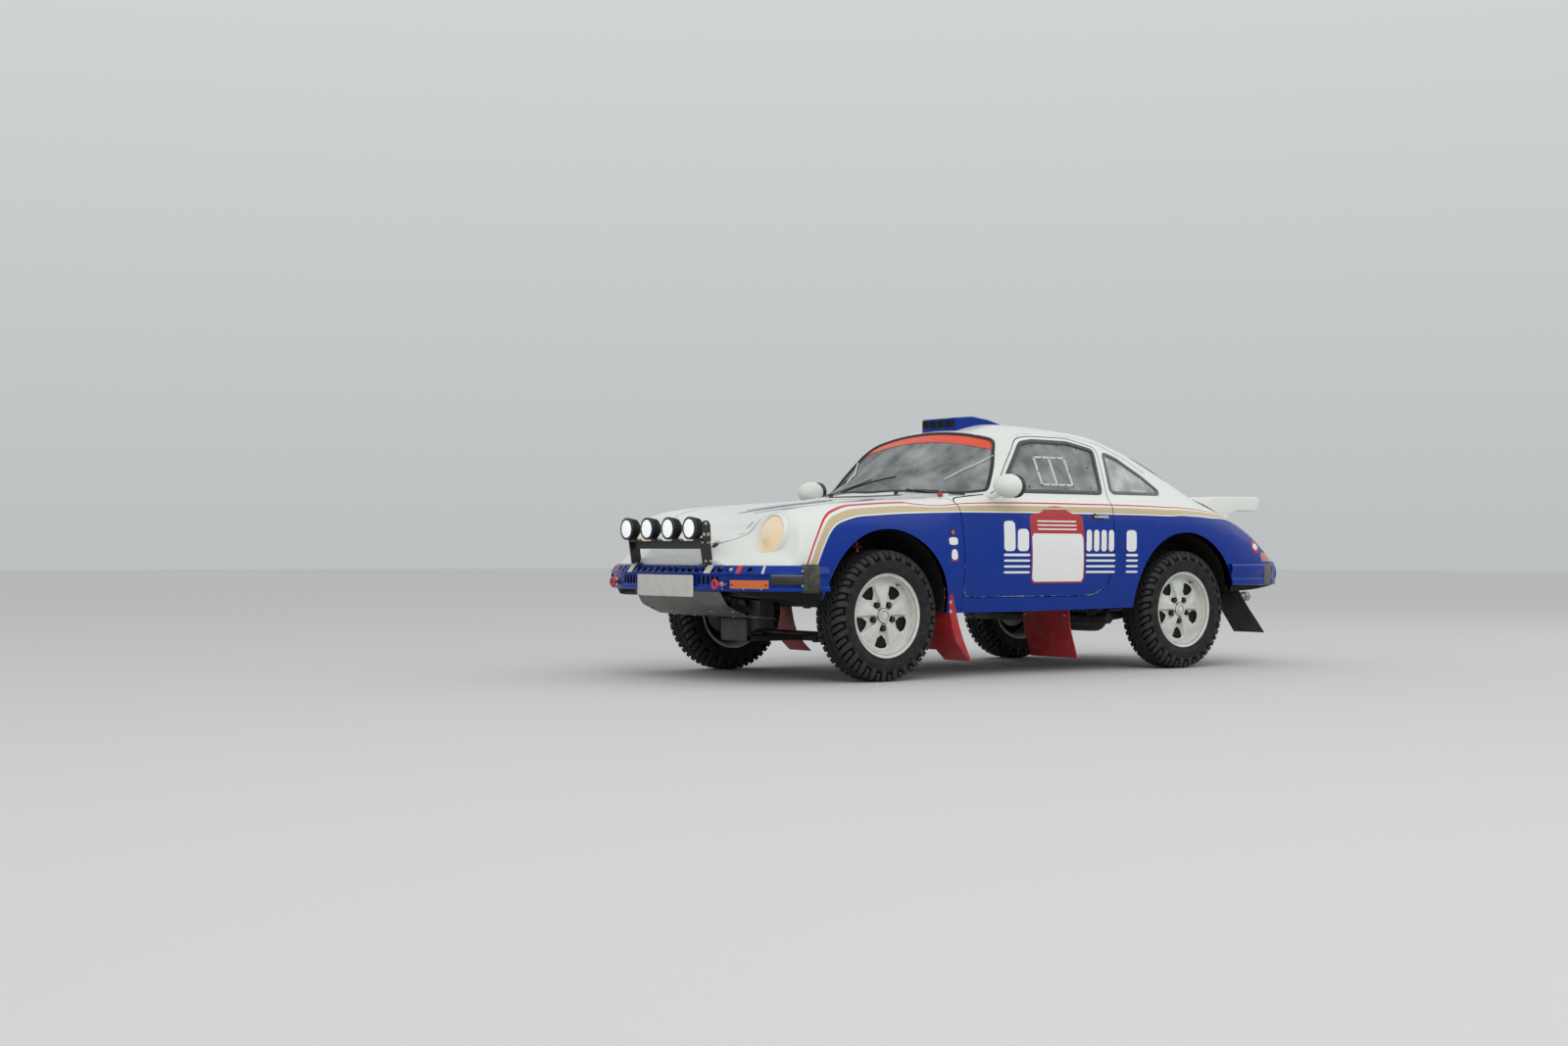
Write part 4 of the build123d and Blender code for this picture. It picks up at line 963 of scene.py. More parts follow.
# The windscreen and rear window are drawn on planes along their slopes: (y, distance up the slope)
SCREEN_FOOT, SCREEN_HEAD = Vector((508, 0, 668)), Vector((975, 0, 1022))
SCREEN = softened([(-700, 190), (-600, 132), (-350, 44), (0, 8), (350, 44), (600, 132), (700, 190),
                   (636, 372), (522, 566), (300, 586), (0, 592), (-300, 586), (-522, 566), (-636, 372)], 60)
REAR_FOOT, REAR_HEAD = Vector((REAR_AXLE + 310, 0, 770)), Vector((REAR_AXLE - 130, 0, 975))
REAR_WINDOW = softened([(-430, 40), (-300, 14), (0, 4), (300, 14), (430, 40), (478, 300), (458, 452),
                        (0, 478), (-458, 452), (-478, 300)], 60)


def slope_field(polygon, foot, head):
    """A field from an outline on the plane through foot and head."""
    up = (head - foot).normalized()

    def field(p):
        offset = p - np.array(foot)
        flat = np.stack([p[:, 1], offset @ np.array(up)], 1)
        square = np.abs(offset @ np.array(up.cross(Vector((0, 1, 0)))))
        return np.where(square < 330, polygon_distance(flat, polygon), FAR_OFF)

    return field


def fender_field(p):
    """Negative on the bolted front fender, outside the hood and ahead of door and cowl."""
    seam = line_distance(p[:, :2], [(300, 560), (404, 622), (440, 662), (560, 716), (700, 760)])
    return np.maximum(p[:, 0] - (DOOR_FRONT - GAP), -seam)


def lamp_field(p):
    along, radial = lamp_coordinates(p)
    return np.maximum(radial - LAMP_RADIUS + LAMP_INSET, -30 - along)


def tail_lamp_field(p):
    box = polygon_distance(p[:, [0, 2]], softened([(2972, 282), (2972, 336), (3600, 336), (3600, 282)], 8))
    return np.maximum(box, 420 - p[:, 1])


def valance_field(p):
    """Negative on the skin below the bumpers."""
    front = np.maximum(p[:, 2] - 131, p[:, 0] + 440)
    return np.minimum(front, np.maximum(p[:, 2] - 139, REAR_AXLE + 352 - p[:, 0]))


def shell_depth(p):
    """Wall thickness: 50 at the sides, 34 at pillars and roof."""
    return np.interp(p[:, 2], [560, 680], [50.0, 34.0])


def chip_field(points):
    """Distance from the door's lower edge, where the paint is chipped."""
    away = np.abs(polygon_distance(points[:, [0, 2]], DOOR))
    return np.where((points[:, 2] < 300) & (np.abs(points[:, 1]) > 600), away, NO_CHIPS)


def dress_body():
    """Cuts the skin into its panels and windows and makes a piece of each."""
    skin = Skin()
    for place, z in ARCHES:
        skin.cut(round_field(place, z, ARCH_RADIUS), "shell", "waste")
    skin.cut(lamp_field, "shell", "waste")
    for field, part in ((side_field(DOOR, 480), "door"), (plan_field(HOOD), "hood"),
                        (plan_field(ENGINE_LID), "engine_lid")):
        skin.cut(field, "shell", part)
        skin.cut(grown(field, GAP), "shell", "waste")
    skin.cut(slope_field(SCREEN, SCREEN_FOOT, SCREEN_HEAD), "shell", "screen")
    skin.cut(slope_field(REAR_WINDOW, REAR_FOOT, REAR_HEAD), "shell", "rear_window")
    skin.cut(side_field(DOOR_WINDOW, 480), "door", "door_window")
    skin.cut(side_field(QUARTER_WINDOW, 450), "shell", "quarter_window")
    skin.cut(tail_lamp_field, "shell", "tail_lamp")
    skin.cut(fender_field, "shell", "fender")
    skin.cut(grown(fender_field, 3), "shell", "waste")

    for part in ("shell", "fender"):
        skin.cut(valance_field, part, "valance")
    panel("lower_valance_skin", *both_halves(*skin.take("valance")), 20, "root", ["liner"] * 3,
          replaces=["body_shell", "front_fenders"], slot="paint_livery")
    panel("body_skin", *both_halves(*skin.take("shell")), shell_depth, "root", edge=chip_field,
          replaces=["body_shell"], slot="paint_livery")
    panel("hood_skin", *both_halves(*skin.take("hood")), 20, "front_lid", ["white", "white", "inner"],
          replaces=["front_lid"], slot="paint_white")
    streaks = Patch(*both_halves(*skin.take("hood")), "hood")
    for side, sign in SIDES:
        for number, (tone, outline) in enumerate(STREAKS):
            mirrored_outline = softened([(a, sign * b) for a, b in outline], 40)
            streaks.cut(lambda q: polygon_distance(q[:, :2], mirrored_outline), "hood", f"{tone}_{side}")
            table, faces = streaks.take(f"{tone}_{side}")
            table[:, POS] += table[:, NRM] * 1.0
            panel(f"lid_streak_{number}_{side}", table, faces, 2, "front_lid", [tone] * 3,
                  replaces=["front_lid"], slot="paint_white")
    panel("engine_lid_skin", *both_halves(*skin.take("engine_lid")), 20, "engine_lid",
          replaces=["engine_lid"], slot="paint_white")
    for side, turn in HALVES:
        panel(f"fender_{side}_skin", *turn(*skin.take("fender")), 22, "root", edge=chip_field,
              replaces=["front_fenders"], slot="paint_livery")
        panel(f"door_{side}_skin", *turn(*skin.take("door")), shell_depth, f"door_{side}", edge=chip_field,
              replaces=[f"door_{side}"], slot="paint_livery")
        panel(f"door_{side}_pane", *turn(*pane_of(skin, "door_window")), 4, f"door_{side}", ["pane"] * 3,
              replaces=[f"door_{side}_window"], slot="side_glazing")
        panel(f"quarter_{side}_pane", *turn(*pane_of(skin, "quarter_window")), 4, "root", ["quarter"] * 3,
              replaces=["quarter_windows"], slot="window_glass")
    for name, part, node in (("screen_glass", "screen", "windshield"),
                             ("rear_glass", "rear_window", "rear_window")):
        panel(name, *both_halves(*pane_of(skin, part)), 5, "root", ["screen"] * 3, replaces=[node],
              slot="window_glass")
    return skin


def pane_of(skin, label):
    """The patch of skin cut out for a window, set in from the surface."""
    table, faces = skin.take(label)
    table[:, POS] -= table[:, NRM] * PANE_INSET
    return table, faces


skin = dress_body()


# Wheels

WHEEL_Y = {"front": (front_low.y + front_high.y) / 2 / MM, "rear": (rear_low.y + rear_high.y) / 2 / MM}
TYRE_RADIUS = 345.0
# The carcass beyond this radius is the floor of the tread's grooves
GROOVE_RADIUS = 290
PITCHES = 26
# Sideways lean of the lugs, as an angle for each millimetre from the line that is theirs at rest
LUG_LEAN = 0.0016
LEAN_LINE = 40
PETALS = 5
TYRE_HALF = [
    (82.2, 203.8), (82.2, 222.6), (92, 226), (96, 231), (95.5, 236), (98.5, 246), (100.2, 248), (101.6, 262),
    (101.9, 276), (100.4, 278), (99.5, 292), (96, 304), (91, 315), (84, 324), (74, 329), (60, 330.5),
    (24, 331),
]
# A shoulder lug's rungs, from tread to sidewall: half width, then (offset, radius) of top and base
LONG_LUG = [
    (10, (41, 334), (41, 328)), (13, (43, 344.6), (42, 328)), (15, (66, 344.4), (64, 328)),
    (16, (83, 339), (78, 325)), (17, (94, 325), (88, 314)), (17, (101.6, 306), (95, 302)),
    (15, (103.8, 291), (98, 291)), (12, (101, 284), (99, 284)),
]
SHORT_LUG = [
    (10, (49, 334), (49, 328)), (12, (51, 344.6), (50, 328)), (13, (68, 344.2), (66, 328)),
    (13, (84, 338.5), (79, 325)), (13, (95, 324), (89, 313)), (11, (99.5, 314), (94, 309)),
    (9, (97, 306), (95, 306)),
]
MIDDLE_LUG = [
    (9, (3, 334), (3, 329)), (12, (5, 344.8), (4, 329)), (14, (22, 344.8), (22, 329)),
    (11, (37, 344.6), (38, 329)), (8, (39, 334), (39, 329)),
]


def mud_tyre(place, y):
    """Carcass with sidewall rings, and three rows of lugs each side that are staggered and slanted."""
    shape = Shape()
    profile = TYRE_HALF + [(-offset, radius) for offset, radius in reversed(TYRE_HALF)]
    shape.lathe(profile, (place, y, 0), (0, 1, 0), 104, 0)
    # Carcass faces beyond the groove radius take the darker groove material, painted shade between the lugs.
    for i, face in enumerate(shape.faces):
        if min(np.hypot(shape.points[k][0] - place, shape.points[k][2]) for k in face) > GROOVE_RADIUS:
            shape.marks[i] = 2
    for side in (1, -1):
        for i in range(PITCHES):
            turn = 2 * pi * (i + (0.5 if side < 0 else 0)) / PITCHES
            half = pi / PITCHES
            slant = LUG_LEAN * side
            for rungs, at, tilt in ((LONG_LUG, turn, slant), (SHORT_LUG, turn + half, slant),
                                    (MIDDLE_LUG, turn + half * 0.45, -3.2 * slant),
                                    (MIDDLE_LUG, turn + half * 1.45, -3.2 * slant)):
                rings = []
                for width, top, base in rungs:
                    angle = at + tilt * (top[0] - LEAN_LINE)
                    ring = []
                    for (offset, radius), spread in ((base, -1.12), (top, -0.94), (top, 0.94), (base, 1.12)):
                        a = angle + spread * width * (0.82 if rungs is MIDDLE_LUG else 1.0) / TYRE_RADIUS
                        ring.append((place + radius * sin(a), y + side * offset, radius * cos(a)))
                    rings.append(ring)
                shape.loft(rings, 1)
    return shape


def rim_face(place, y):
    """The cast face: a dished disc with five raised petals and the windows between them."""
    angles, radii = np.arange(-2, 182) * (2 * pi / 180), np.linspace(30, 195.5, 46)
    t, r = np.meshgrid(angles, radii, indexing="ij")
    spoke = 2 * pi / PETALS
    off = np.abs((t + spoke / 2) % spoke - spoke / 2)
    across = r * np.sin(np.minimum(off, pi / 4))
    edge = np.interp(r, [40, 62, 110, 165], [15, 19, 35, 56])
    valley = np.clip((across - edge + 2.5) / 5, 0, 1)
    valley = valley**2 * (3 - 2 * valley) * np.interp(r, [38, 50, 158, 172], [0, 1, 1, 0])
    fold = np.clip(1 - across / np.maximum(edge, 1), 0, 1) * np.interp(r, [60, 90, 150, 168], [0, 5, 5, 0])
    height = np.interp(r, [30, 60, 110, 168, 186, 195.5], [58, 57, 52, 44, 42, 40]) - 17 * valley + fold
    grid = np.stack([place + r * np.sin(t), y + height, r * np.cos(t)], 2)
    normals = -grid_normals(grid)
    normals *= np.sign(normals[..., 1:2] + 1e-9)
    grid, normals = grid[2:-2], normals[2:-2]
    rows, columns = grid.shape[:2]
    patch = Patch(skin_table(grid, normals, NO_STRIPES), grid_faces(rows, columns, around=True), "face")
    for i in range(PETALS):
        middle = spoke * (i + 0.5)
        corners = [(100, 0.0), (128, 0.24), (163, 0.27), (171, 0.14), (172, 0.0), (171, -0.14), (163, -0.27),
                   (128, -0.24)]
        outline = softened([(place + d * sin(middle + a), d * cos(middle + a)) for d, a in corners], 9)
        patch.cut(lambda q: polygon_distance(q[:, [0, 2]], outline), "face", "window")
    return patch.take("face")


RIM_BARREL = [
    (-82.8, 220.2), (-90, 221), (-91, 214), (-84, 205), (-70, 196), (-30, 187), (36, 188), (42, 196),
    (52, 196.5), (72, 199), (80, 203.5), (83.5, 212), (86.5, 216), (90.3, 218.6), (90.3, 221.4), (85, 221.4),
    (82.8, 219.5), (82.8, 206), (78, 203), (-78, 203), (-82.8, 206),
]


def dress_wheel(end, side, sign):
    """Tyre, cast face, barrel, cap, nuts, valve and brake disc of one wheel."""
    body, place = f"wheel_{end}_{side}", 0.0 if end == "front" else REAR_AXLE
    y = abs(WHEEL_Y[end])
    tyre = mud_tyre(place, sign * y)
    build(tyre, f"mud_tyre_{end}_{side}", ["tyre", "tread", "groove"], body, replaces=[f"tyre_{end}_{side}"],
          slot="tyre", soft=32)
    table, faces = rim_face(place, y)
    if sign < 0:
        table, faces = flipped(table, faces)
    node = f"rim_{end}_{side}"
    panel(f"wheel_face_{end}_{side}", table, faces, 8, body, ["wheel"] * 3, replaces=[node],
          slot="wheel_paint")
    wheel = Shape()
    centre, out = (place, sign * y, 0), (0, sign, 0)
    wheel.lathe(RIM_BARREL, centre, out, 96, 0)
    # A black disc just behind the cast face: painted shade seen through the windows, hiding the brake disc
    # behind it.
    wheel.lathe([(20, 60), (20, 186), (26, 187.5), (28, 186), (28, 60)], centre, out, 64, 3)
    cap = [(40, 38), (62, 38), (65, 36.5), (66, 33), (66, 27), (63, 24), (63, 20), (65, 17), (65, 0.1)]
    wheel.solid(cap, centre, out, 40, 0)
    wheel.lathe([(54, 37), (58.8, 38), (58.8, 40.5), (54, 41)], centre, out, 40, 3)
    wheel.lathe([(64, 25), (66.3, 25), (66.3, 26.6), (64, 26.6)], centre, out, 40, 3)
    hub = [(-13, 55), (5, 57), (30, 56), (34, 40)]
    wheel.solid(hub, centre, out, 40, 2)
    wheel.lathe([(-13, 58), (-13, 140), (-5, 140), (-5, 134), (-3, 134), (-3, 140), (5, 140), (5, 58)],
                centre, out, 64, 1)
    for i in range(PETALS):
        a = 2 * pi * (i + 0.5) / PETALS
        spot = Vector((place + 68 * sin(a), sign * (y + 40), 68 * cos(a)))
        wheel.solid([(0, 15), (17.4, 15), (17.4, 13.5), (12, 12.5)], spot, out, 20, 3)
        wheel.solid([(6, 9), (17.8, 9), (19.2, 7)], spot, out, 6, 2)
    valve = Vector((place + 186 * sin(0.55), sign * (y + 44), 186 * cos(0.55)))
    wheel.solid([(0, 4), (4, 5), (8, 3.5), (26, 3.5), (28, 2.5)], valve, out, 10, 2)
    build(wheel, f"wheel_barrel_{end}_{side}", ["wheel", "disc", "dark", "liner"], body, replaces=[node],
          slot="wheel_paint")


for wheel_end in ("front", "rear"):
    for wheel_side, wheel_sign in SIDES:
        dress_wheel(wheel_end, wheel_side, wheel_sign)


# Shapes laid along the skin


def chained(edges):
    """Directed border edges joined into loops of point numbers."""
    after = dict(edges)
    loops = []
    while after:
        start, end = after.popitem()
        loop = [start]
        while end in after:
            loop.append(end)
            end = after.pop(end)
        loops.append(loop)
    return loops


def outline_loop(table, faces):
    """The longest border loop of a patch, as points and normals evenly spread."""
    loop = max(chained(border(faces)), key=len)
    points, normals = table[loop, POS], table[loop, NRM]
    return spread(points, normals, 11.0)


def spread(points, normals, gap, closed=True):
    """Points and normals read again at even distances along their line."""
    if closed:
        points, normals = np.vstack([points, points[:1]]), np.vstack([normals, normals[:1]])
    length = np.concatenate([[0], np.cumsum(np.linalg.norm(np.diff(points, axis=0), axis=1))])
    at = np.linspace(0, length[-1], max(4, int(length[-1] / gap)))
    if closed:
        at = at[:-1]

    def read(values):
        return np.stack([np.interp(at, length, values[:, k]) for k in range(3)], 1)

    return read(points), read(normals)


def bead(shape, points, normals, half, height, mark=0, closed=True, sink=4.0):
    """A flat rounded strip that follows a line on the skin."""
    n = len(points)
    rings = []
    for i in range(n):
        before = points[i - 1] if closed or i else points[0]
        after = points[(i + 1) % n] if closed or i < n - 1 else points[-1]
        ahead = after - before
        ahead /= max(np.linalg.norm(ahead), 1e-9)
        up = normals[i] / np.linalg.norm(normals[i])
        side = np.cross(up, ahead)
        side /= max(np.linalg.norm(side), 1e-9)
        section = ((-1, -sink), (-1, 0.35 * height), (-0.7, 0.85 * height), (0, height),
                   (0.7, 0.85 * height), (1, 0.35 * height), (1, -sink))
        rings.append([points[i] + side * a * half + up * b for a, b in section])
    shape.loft(rings, mark, caps=not closed, around=closed)


SECTION_CACHE = {}


def section_at(place):
    """The skin's half section at a place, kept for the next call."""
    key = round(place)
    if key not in SECTION_CACHE:
        SECTION_CACHE[key] = half_sections(np.array([float(place)]))[0]
    return SECTION_CACHE[key]


def side_y(place, z):
    """Half width of the body's side at a height below its crest."""
    side = section_at(place)[:SIDE + ROUND]
    return float(np.interp(z, side[:, 1], side[:, 0]))


def deck(place, y):
    """Height of the skin's top at a distance from the centre line."""
    top = section_at(place)[SIDE + ROUND:][::-1]
    return float(np.interp(abs(y), top[:, 0], top[:, 1]))


def bolt(shape, point, axis, radius=6.0, mark=0, height=4.0):
    """A washer with a six-sided head."""
    shape.solid([(-2, radius * 1.5), (1.2, radius * 1.5), (1.6, radius * 1.3)], point, axis, 16, mark)
    shape.solid([(1, radius), (height, radius), (height + 1.2, radius * 0.7)], point, axis, 6, mark)


# Bumpers: pressed sections swept along plan lines, from the middle to the left end

FRONT_LINE = [(-875, 0), (-875, 270), (-852, 480), (-800, 640), (-740, 745), (-660, 812), (-560, 845),
              (-440, 850)]
REAR_LINE = behind([(1054, 0), (1054, 262), (1034, 420), (990, 620), (900, 725), (740, 800), (560, 838),
                    (350, 848)])
FRONT_PROFILE = [
    (-40, 131), (-14, 130), (-4, 131), (0, 136), (0, 148), (-2, 152), (-9, 155), (-11, 160), (-11, 167),
    (-11, 174), (-11, 181), (-11, 188), (-11, 195), (-11, 202), (-11, 207), (-9, 212),
    (-2, 215), (0, 219), (-1, 224), (-4, 229), (-8, 234), (-12, 239), (-16, 244), (-20, 249), (-24, 254),
    (-28, 258), (-34, 262), (-44, 263), (-52, 262), (-56, 258),
]
REAR_PROFILE = [
    (-46, 139), (-14, 140), (-4, 142), (0, 148), (0, 176), (-3, 180), (-8, 183), (-8, 214), (-3, 218),
    (0, 222), (0, 252), (-3, 262), (-10, 268), (-20, 269), (-34, 269), (-48, 269),
]


class Line:
    """A smooth plan line with its outward direction, measured along its length."""

    def __init__(self, points, front):
        fine = softened(points, 90, closed=False, steps=8)
        self.points = np.array(fine)
        step = np.linalg.norm(np.diff(self.points, axis=0), axis=1)
        self.at = np.concatenate([[0], np.cumsum(step)])
        self.front = front

    def frame(self, s):
        """Plan point and outward direction at a length along the line."""
        p = np.array([np.interp(s, self.at, self.points[:, k]) for k in (0, 1)])
        q = np.array([np.interp(min(s + 4, self.at[-1]), self.at, self.points[:, k]) for k in (0, 1)])
        o = np.array([np.interp(max(s - 4, 0), self.at, self.points[:, k]) for k in (0, 1)])
        ahead = (q - o) / np.linalg.norm(q - o)
        if s < 1:
            ahead = np.array([0.0, 1.0])
        out = np.array([-ahead[1], ahead[0]]) if self.front else np.array([ahead[1], -ahead[0]])
        return p, out

    def where(self, column, value):
        """The length at which the line passes a place (column 0) or a y (column 1)."""
        values = self.points[:, column]
        rising = values[-1] > values[0]
        return float(np.interp(value, values if rising else values[::-1],
                               self.at if rising else self.at[::-1]))

    def point(self, s, n, z):
        """The point at a length along the line, a distance n outwards and a height."""
        p, out = self.frame(s)
        return (p[0] + out[0] * n, max(p[1] + out[1] * n, 0.0) if s < 1 else p[1] + out[1] * n, z)

    def strip(self, shape, start, end, profile, mark=0):
        """A solid bar of the given (n, z) section along part of the line, and its mirror image."""
        stations = np.linspace(start, end, max(3, int((end - start) / 12)))
        rings = [[self.point(s, n, z) for n, z in profile] for s in stations]
        shape.loft(rings, mark)
        shape.loft([mirrored(r) for r in rings], mark)


def bumper_patch(line, profile, spans):
    """Grids of the swept section over each span of length, joined in one patch."""
    tables, faces, start = [], [], 0
    for low, high in spans:
        stations = np.linspace(low, high, max(3, int((high - low) / (6 if line.front else 12))))
        grid = np.array([[line.point(s, n, z) for n, z in profile] for s in stations])
        if low == 0:
            grid[0, :, 1] = 0
        if not line.front:
            grid = grid[:, ::-1]
        rows, columns = grid.shape[:2]
        tables.append(skin_table(grid, grid_normals(grid), NO_STRIPES))
        faces += [tuple(start + i for i in f) for f in grid_faces(rows, columns)]
        start += rows * columns
    return Patch(np.vstack(tables), faces, "bumper")


def ridged(line, start, end, profile, ridges, depth):
    """A concertina of rubber over a span of the line."""
    shape = Shape()
    stations = np.linspace(start, end, ridges * 6 + 1)
    middle = np.mean(profile, axis=0)
    rings = []
    for i, s in enumerate(stations):
        grow = depth * (0.5 - 0.5 * cos(2 * pi * i / 6))
        ring = []
        for n, z in profile:
            away = np.array([n, z]) - middle
            away = away / max(np.linalg.norm(away), 1e-9)
            ring.append(line.point(s, n + away[0] * grow, z + away[1] * grow))
        rings.append(ring)
    shape.loft(rings, 0)
    shape.loft([mirrored(r) for r in rings], 0)
    return shape


def dress_front():
    """Bumpers with their bellows, indicators, plates, towing eyes and the skid plate."""
    line = Line(FRONT_LINE, True)
    gap_start, gap_end = line.where(0, -600), line.where(0, -502)
    patch = bumper_patch(line, FRONT_PROFILE, [(0, gap_start), (gap_end, line.at[-1])])

    def punch(slot, low, high):
        """Cuts a slot, seen from the front, out of the bumper's nose between two heights."""
        nose, aside = -700, 100.0
        patch.cut(lambda q: np.where((q[:, 2] > low) & (q[:, 2] < high) & (q[:, 0] < nose),
                                     polygon_distance(q[:, 1:3], slot), aside), "bumper", "waste")

    for i in range(11):
        y = 12 + 60.0 * i
        slot = softened([(y - 10, 257), (y + 24, 257), (y + 44, 226), (y + 10, 226)], 4)
        if i > 7:
            slot = [(y + 20 + (34 - 2 * i) * cos(a), 242 + 12 * sin(a)) for a in circle(16)]
        punch(slot, 222, 300)
    for y in (291, 326, 361, 396, 431):
        punch(softened(rectangle(y - 11, y + 11, 163, 207), 8), 100, 215)
    panel("front_bumper_skin", *both_halves(*patch.take("bumper")), 4, "root", ["blue"] * 3,
          replaces=["front_bumper"], slot="paint_blue")
    core = Shape()
    line.strip(core, 1, gap_start - 4, [(-54, 142), (-18, 142), (-18, 222), (-36, 246), (-54, 246)], 0)
    corner_start, corner_end = line.where(1, 742), gap_start + 2
    strip = [(-12, 164), (0, 166), (3, 172), (3, 206), (0, 211), (-12, 212)]
    line.strip(core, corner_start, corner_end, strip, 1)
    line.strip(core, corner_start, corner_end, [(-9, 211), (1, 212), (1.5, 215), (-9, 216)], 2)
    for y in (40, 480, 610, 700):
        for sign in (1, -1):
            p = line.point(line.where(1, y), 0, 144)
            out = line.frame(line.where(1, y))[1]
            bolt(core, (p[0], sign * p[1], 143), (out[0], sign * out[1], 0), 3.2, 2, 2)
    s = line.where(0, -590) - 16
    p, out = line.frame(s)
    for z in (160, 235):
        for sign in (1, -1):
            bolt(core, (p[0] + out[0], sign * (p[1] + out[1]), z), (out[0], sign * out[1], 0), 4, 2, 3)
    tape = [(0.8, 221), (0.6, 225.5), (-26.6, 259.4), (-32, 262.6), (-32, 261), (-27.6, 257.6),
            (-0.8, 223.6), (-0.6, 221)]
    for y, length, mark in ((338, 34, 3), (372, 16, 3), (560, 30, 4), (700, 14, 3)):
        at = line.where(1, y)
        line.strip(core, at, at + length, tape, mark)
    build(core, "front_bumper_core", ["liner", "rubber", "steel", "plate", "tow"], "root",
          replaces=["front_bumper"], slot="paint_blue")
    folds = [(-52, 136), (-6, 134), (-2, 140), (-2, 250), (-8, 258), (-52, 258)]
    bellows = ridged(line, gap_start + 1, gap_end - 1, folds, 7, 11)
    rear = Line(REAR_LINE, False)
    low, high = rear.where(0, REAR_AXLE + 800), rear.where(0, REAR_AXLE + 690)
    folds = [(-46, 142), (-8, 142), (-3, 148), (-3, 258), (-8, 264), (-46, 264)]
    more = ridged(rear, low + 1, high - 1, folds, 7, 5)
    bellows.add(more.points, more.faces, 1)
    build(bellows, "bumper_bellows_rubber", ["bellows", "grey_bellows"], "root", replaces=["bumper_bellows"],
          slot="black_rubber", soft=50)
    patch = bumper_patch(rear, REAR_PROFILE, [(0, low), (high, rear.at[-1])])
    panel("rear_bumper_skin", *both_halves(*patch.take("bumper")), 4, "root", ["blue"] * 3,
          replaces=["rear_bumper"], slot="paint_blue")

    lamps = Shape()
    lens = [(-20, 140), (-3, 141), (0, 145), (0.5, 164), (0, 184), (-3, 188), (-20, 189)]
    line.strip(lamps, line.where(1, 527), line.where(1, 733), lens, 0)
    for y in (540, 722):
        p = line.point(line.where(1, y), 0.5, 164)
        out = line.frame(line.where(1, y))[1]
        for sign in (1, -1):
            spot, axis = (p[0], sign * p[1], p[2]), (out[0], sign * out[1], 0)
            lamps.solid([(-2, 6), (1, 6), (2, 4)], spot, axis, 12, 1)
    build(lamps, "front_indicator_lenses", ["amber", "dark"], "root", replaces=["front_indicators"],
          slot="amber_lens", bevel=1.5)

    plates = Shape()
    for front, back, z in ((-881.0, -876.0, 98.0), (REAR_AXLE + 1060, REAR_AXLE + 1055, 148.0)):
        rim = softened(rectangle(-260, 260, z, z + 113), 10)
        inside = softened(rectangle(-254, 254, z + 6, z + 107), 8)
        toward = 1 if back > front else -1
        rings = [[(place, y, h) for y, h in outline] for place, outline in (
            (back, rim), (front + toward * 1.2, rim), (front, inside), (front + toward * 1.0, inside))]
        plates.loft(rings, 0)
    build(plates, "blank_plates", ["plate"], "root", replaces=["number_plates"], slot="plate_white")

    eyes = Shape()
    for sign in (1, -1):
        ring = [(-7 * cos(a), 20 + 7 * sin(a)) for a in circle(12)]
        eyes.lathe(ring, (-896, sign * 480, 167), (1, 0, 0), 32, 0)
        eyes.rod((-890, sign * 504, 167), (-838, sign * 504, 167), 7.5, 1)
        eyes.solid([(0, 13), (9, 13), (11, 11)], (-868, sign * 504, 167), (-1, 0, 0), 6, 1)
        eyes.tube([(-893, sign * 497, 167), (-893, sign * 505, 167), (-880, sign * 505, 167)], 8, 0,
                  smooth=1)
    build(eyes, "tow_eye_rings", ["tow", "steel"], "root", replaces=["tow_eyes"], slot="tow_red")

    skid = Shape()
    outline = [(-806, 126), (-800, 128), (-762, 62), (-752, 52), (-740, 46), (-650, 6), (-640, 3),
               (-440, -16), (-440, -21), (-642, -2), (-653, 1), (-743, 41), (-756, 48), (-768, 60)]
    skid.prism(outline, -395, 395, "y", 0)
    for y in (-396, 350):
        skid.prism([(p - 1.5, z - 1.5) for p, z in outline[1:8]] + [(p, z) for p, z in outline[8:]], y,
                   y + 44, "y", 2)
    for y in (-374, -180, 180, 372):
        for p, z in ((-704, 22), (-560, -9)):
            bolt(skid, (p, y, z), (0.1, 0, -1), 7, 1, 4)
    build(skid, "skid_plate_sheet", ["alloy", "steel", "bright_alloy"], "root", replaces=["skid_plate"],
          slot="bare_alloy", bevel=1.2)


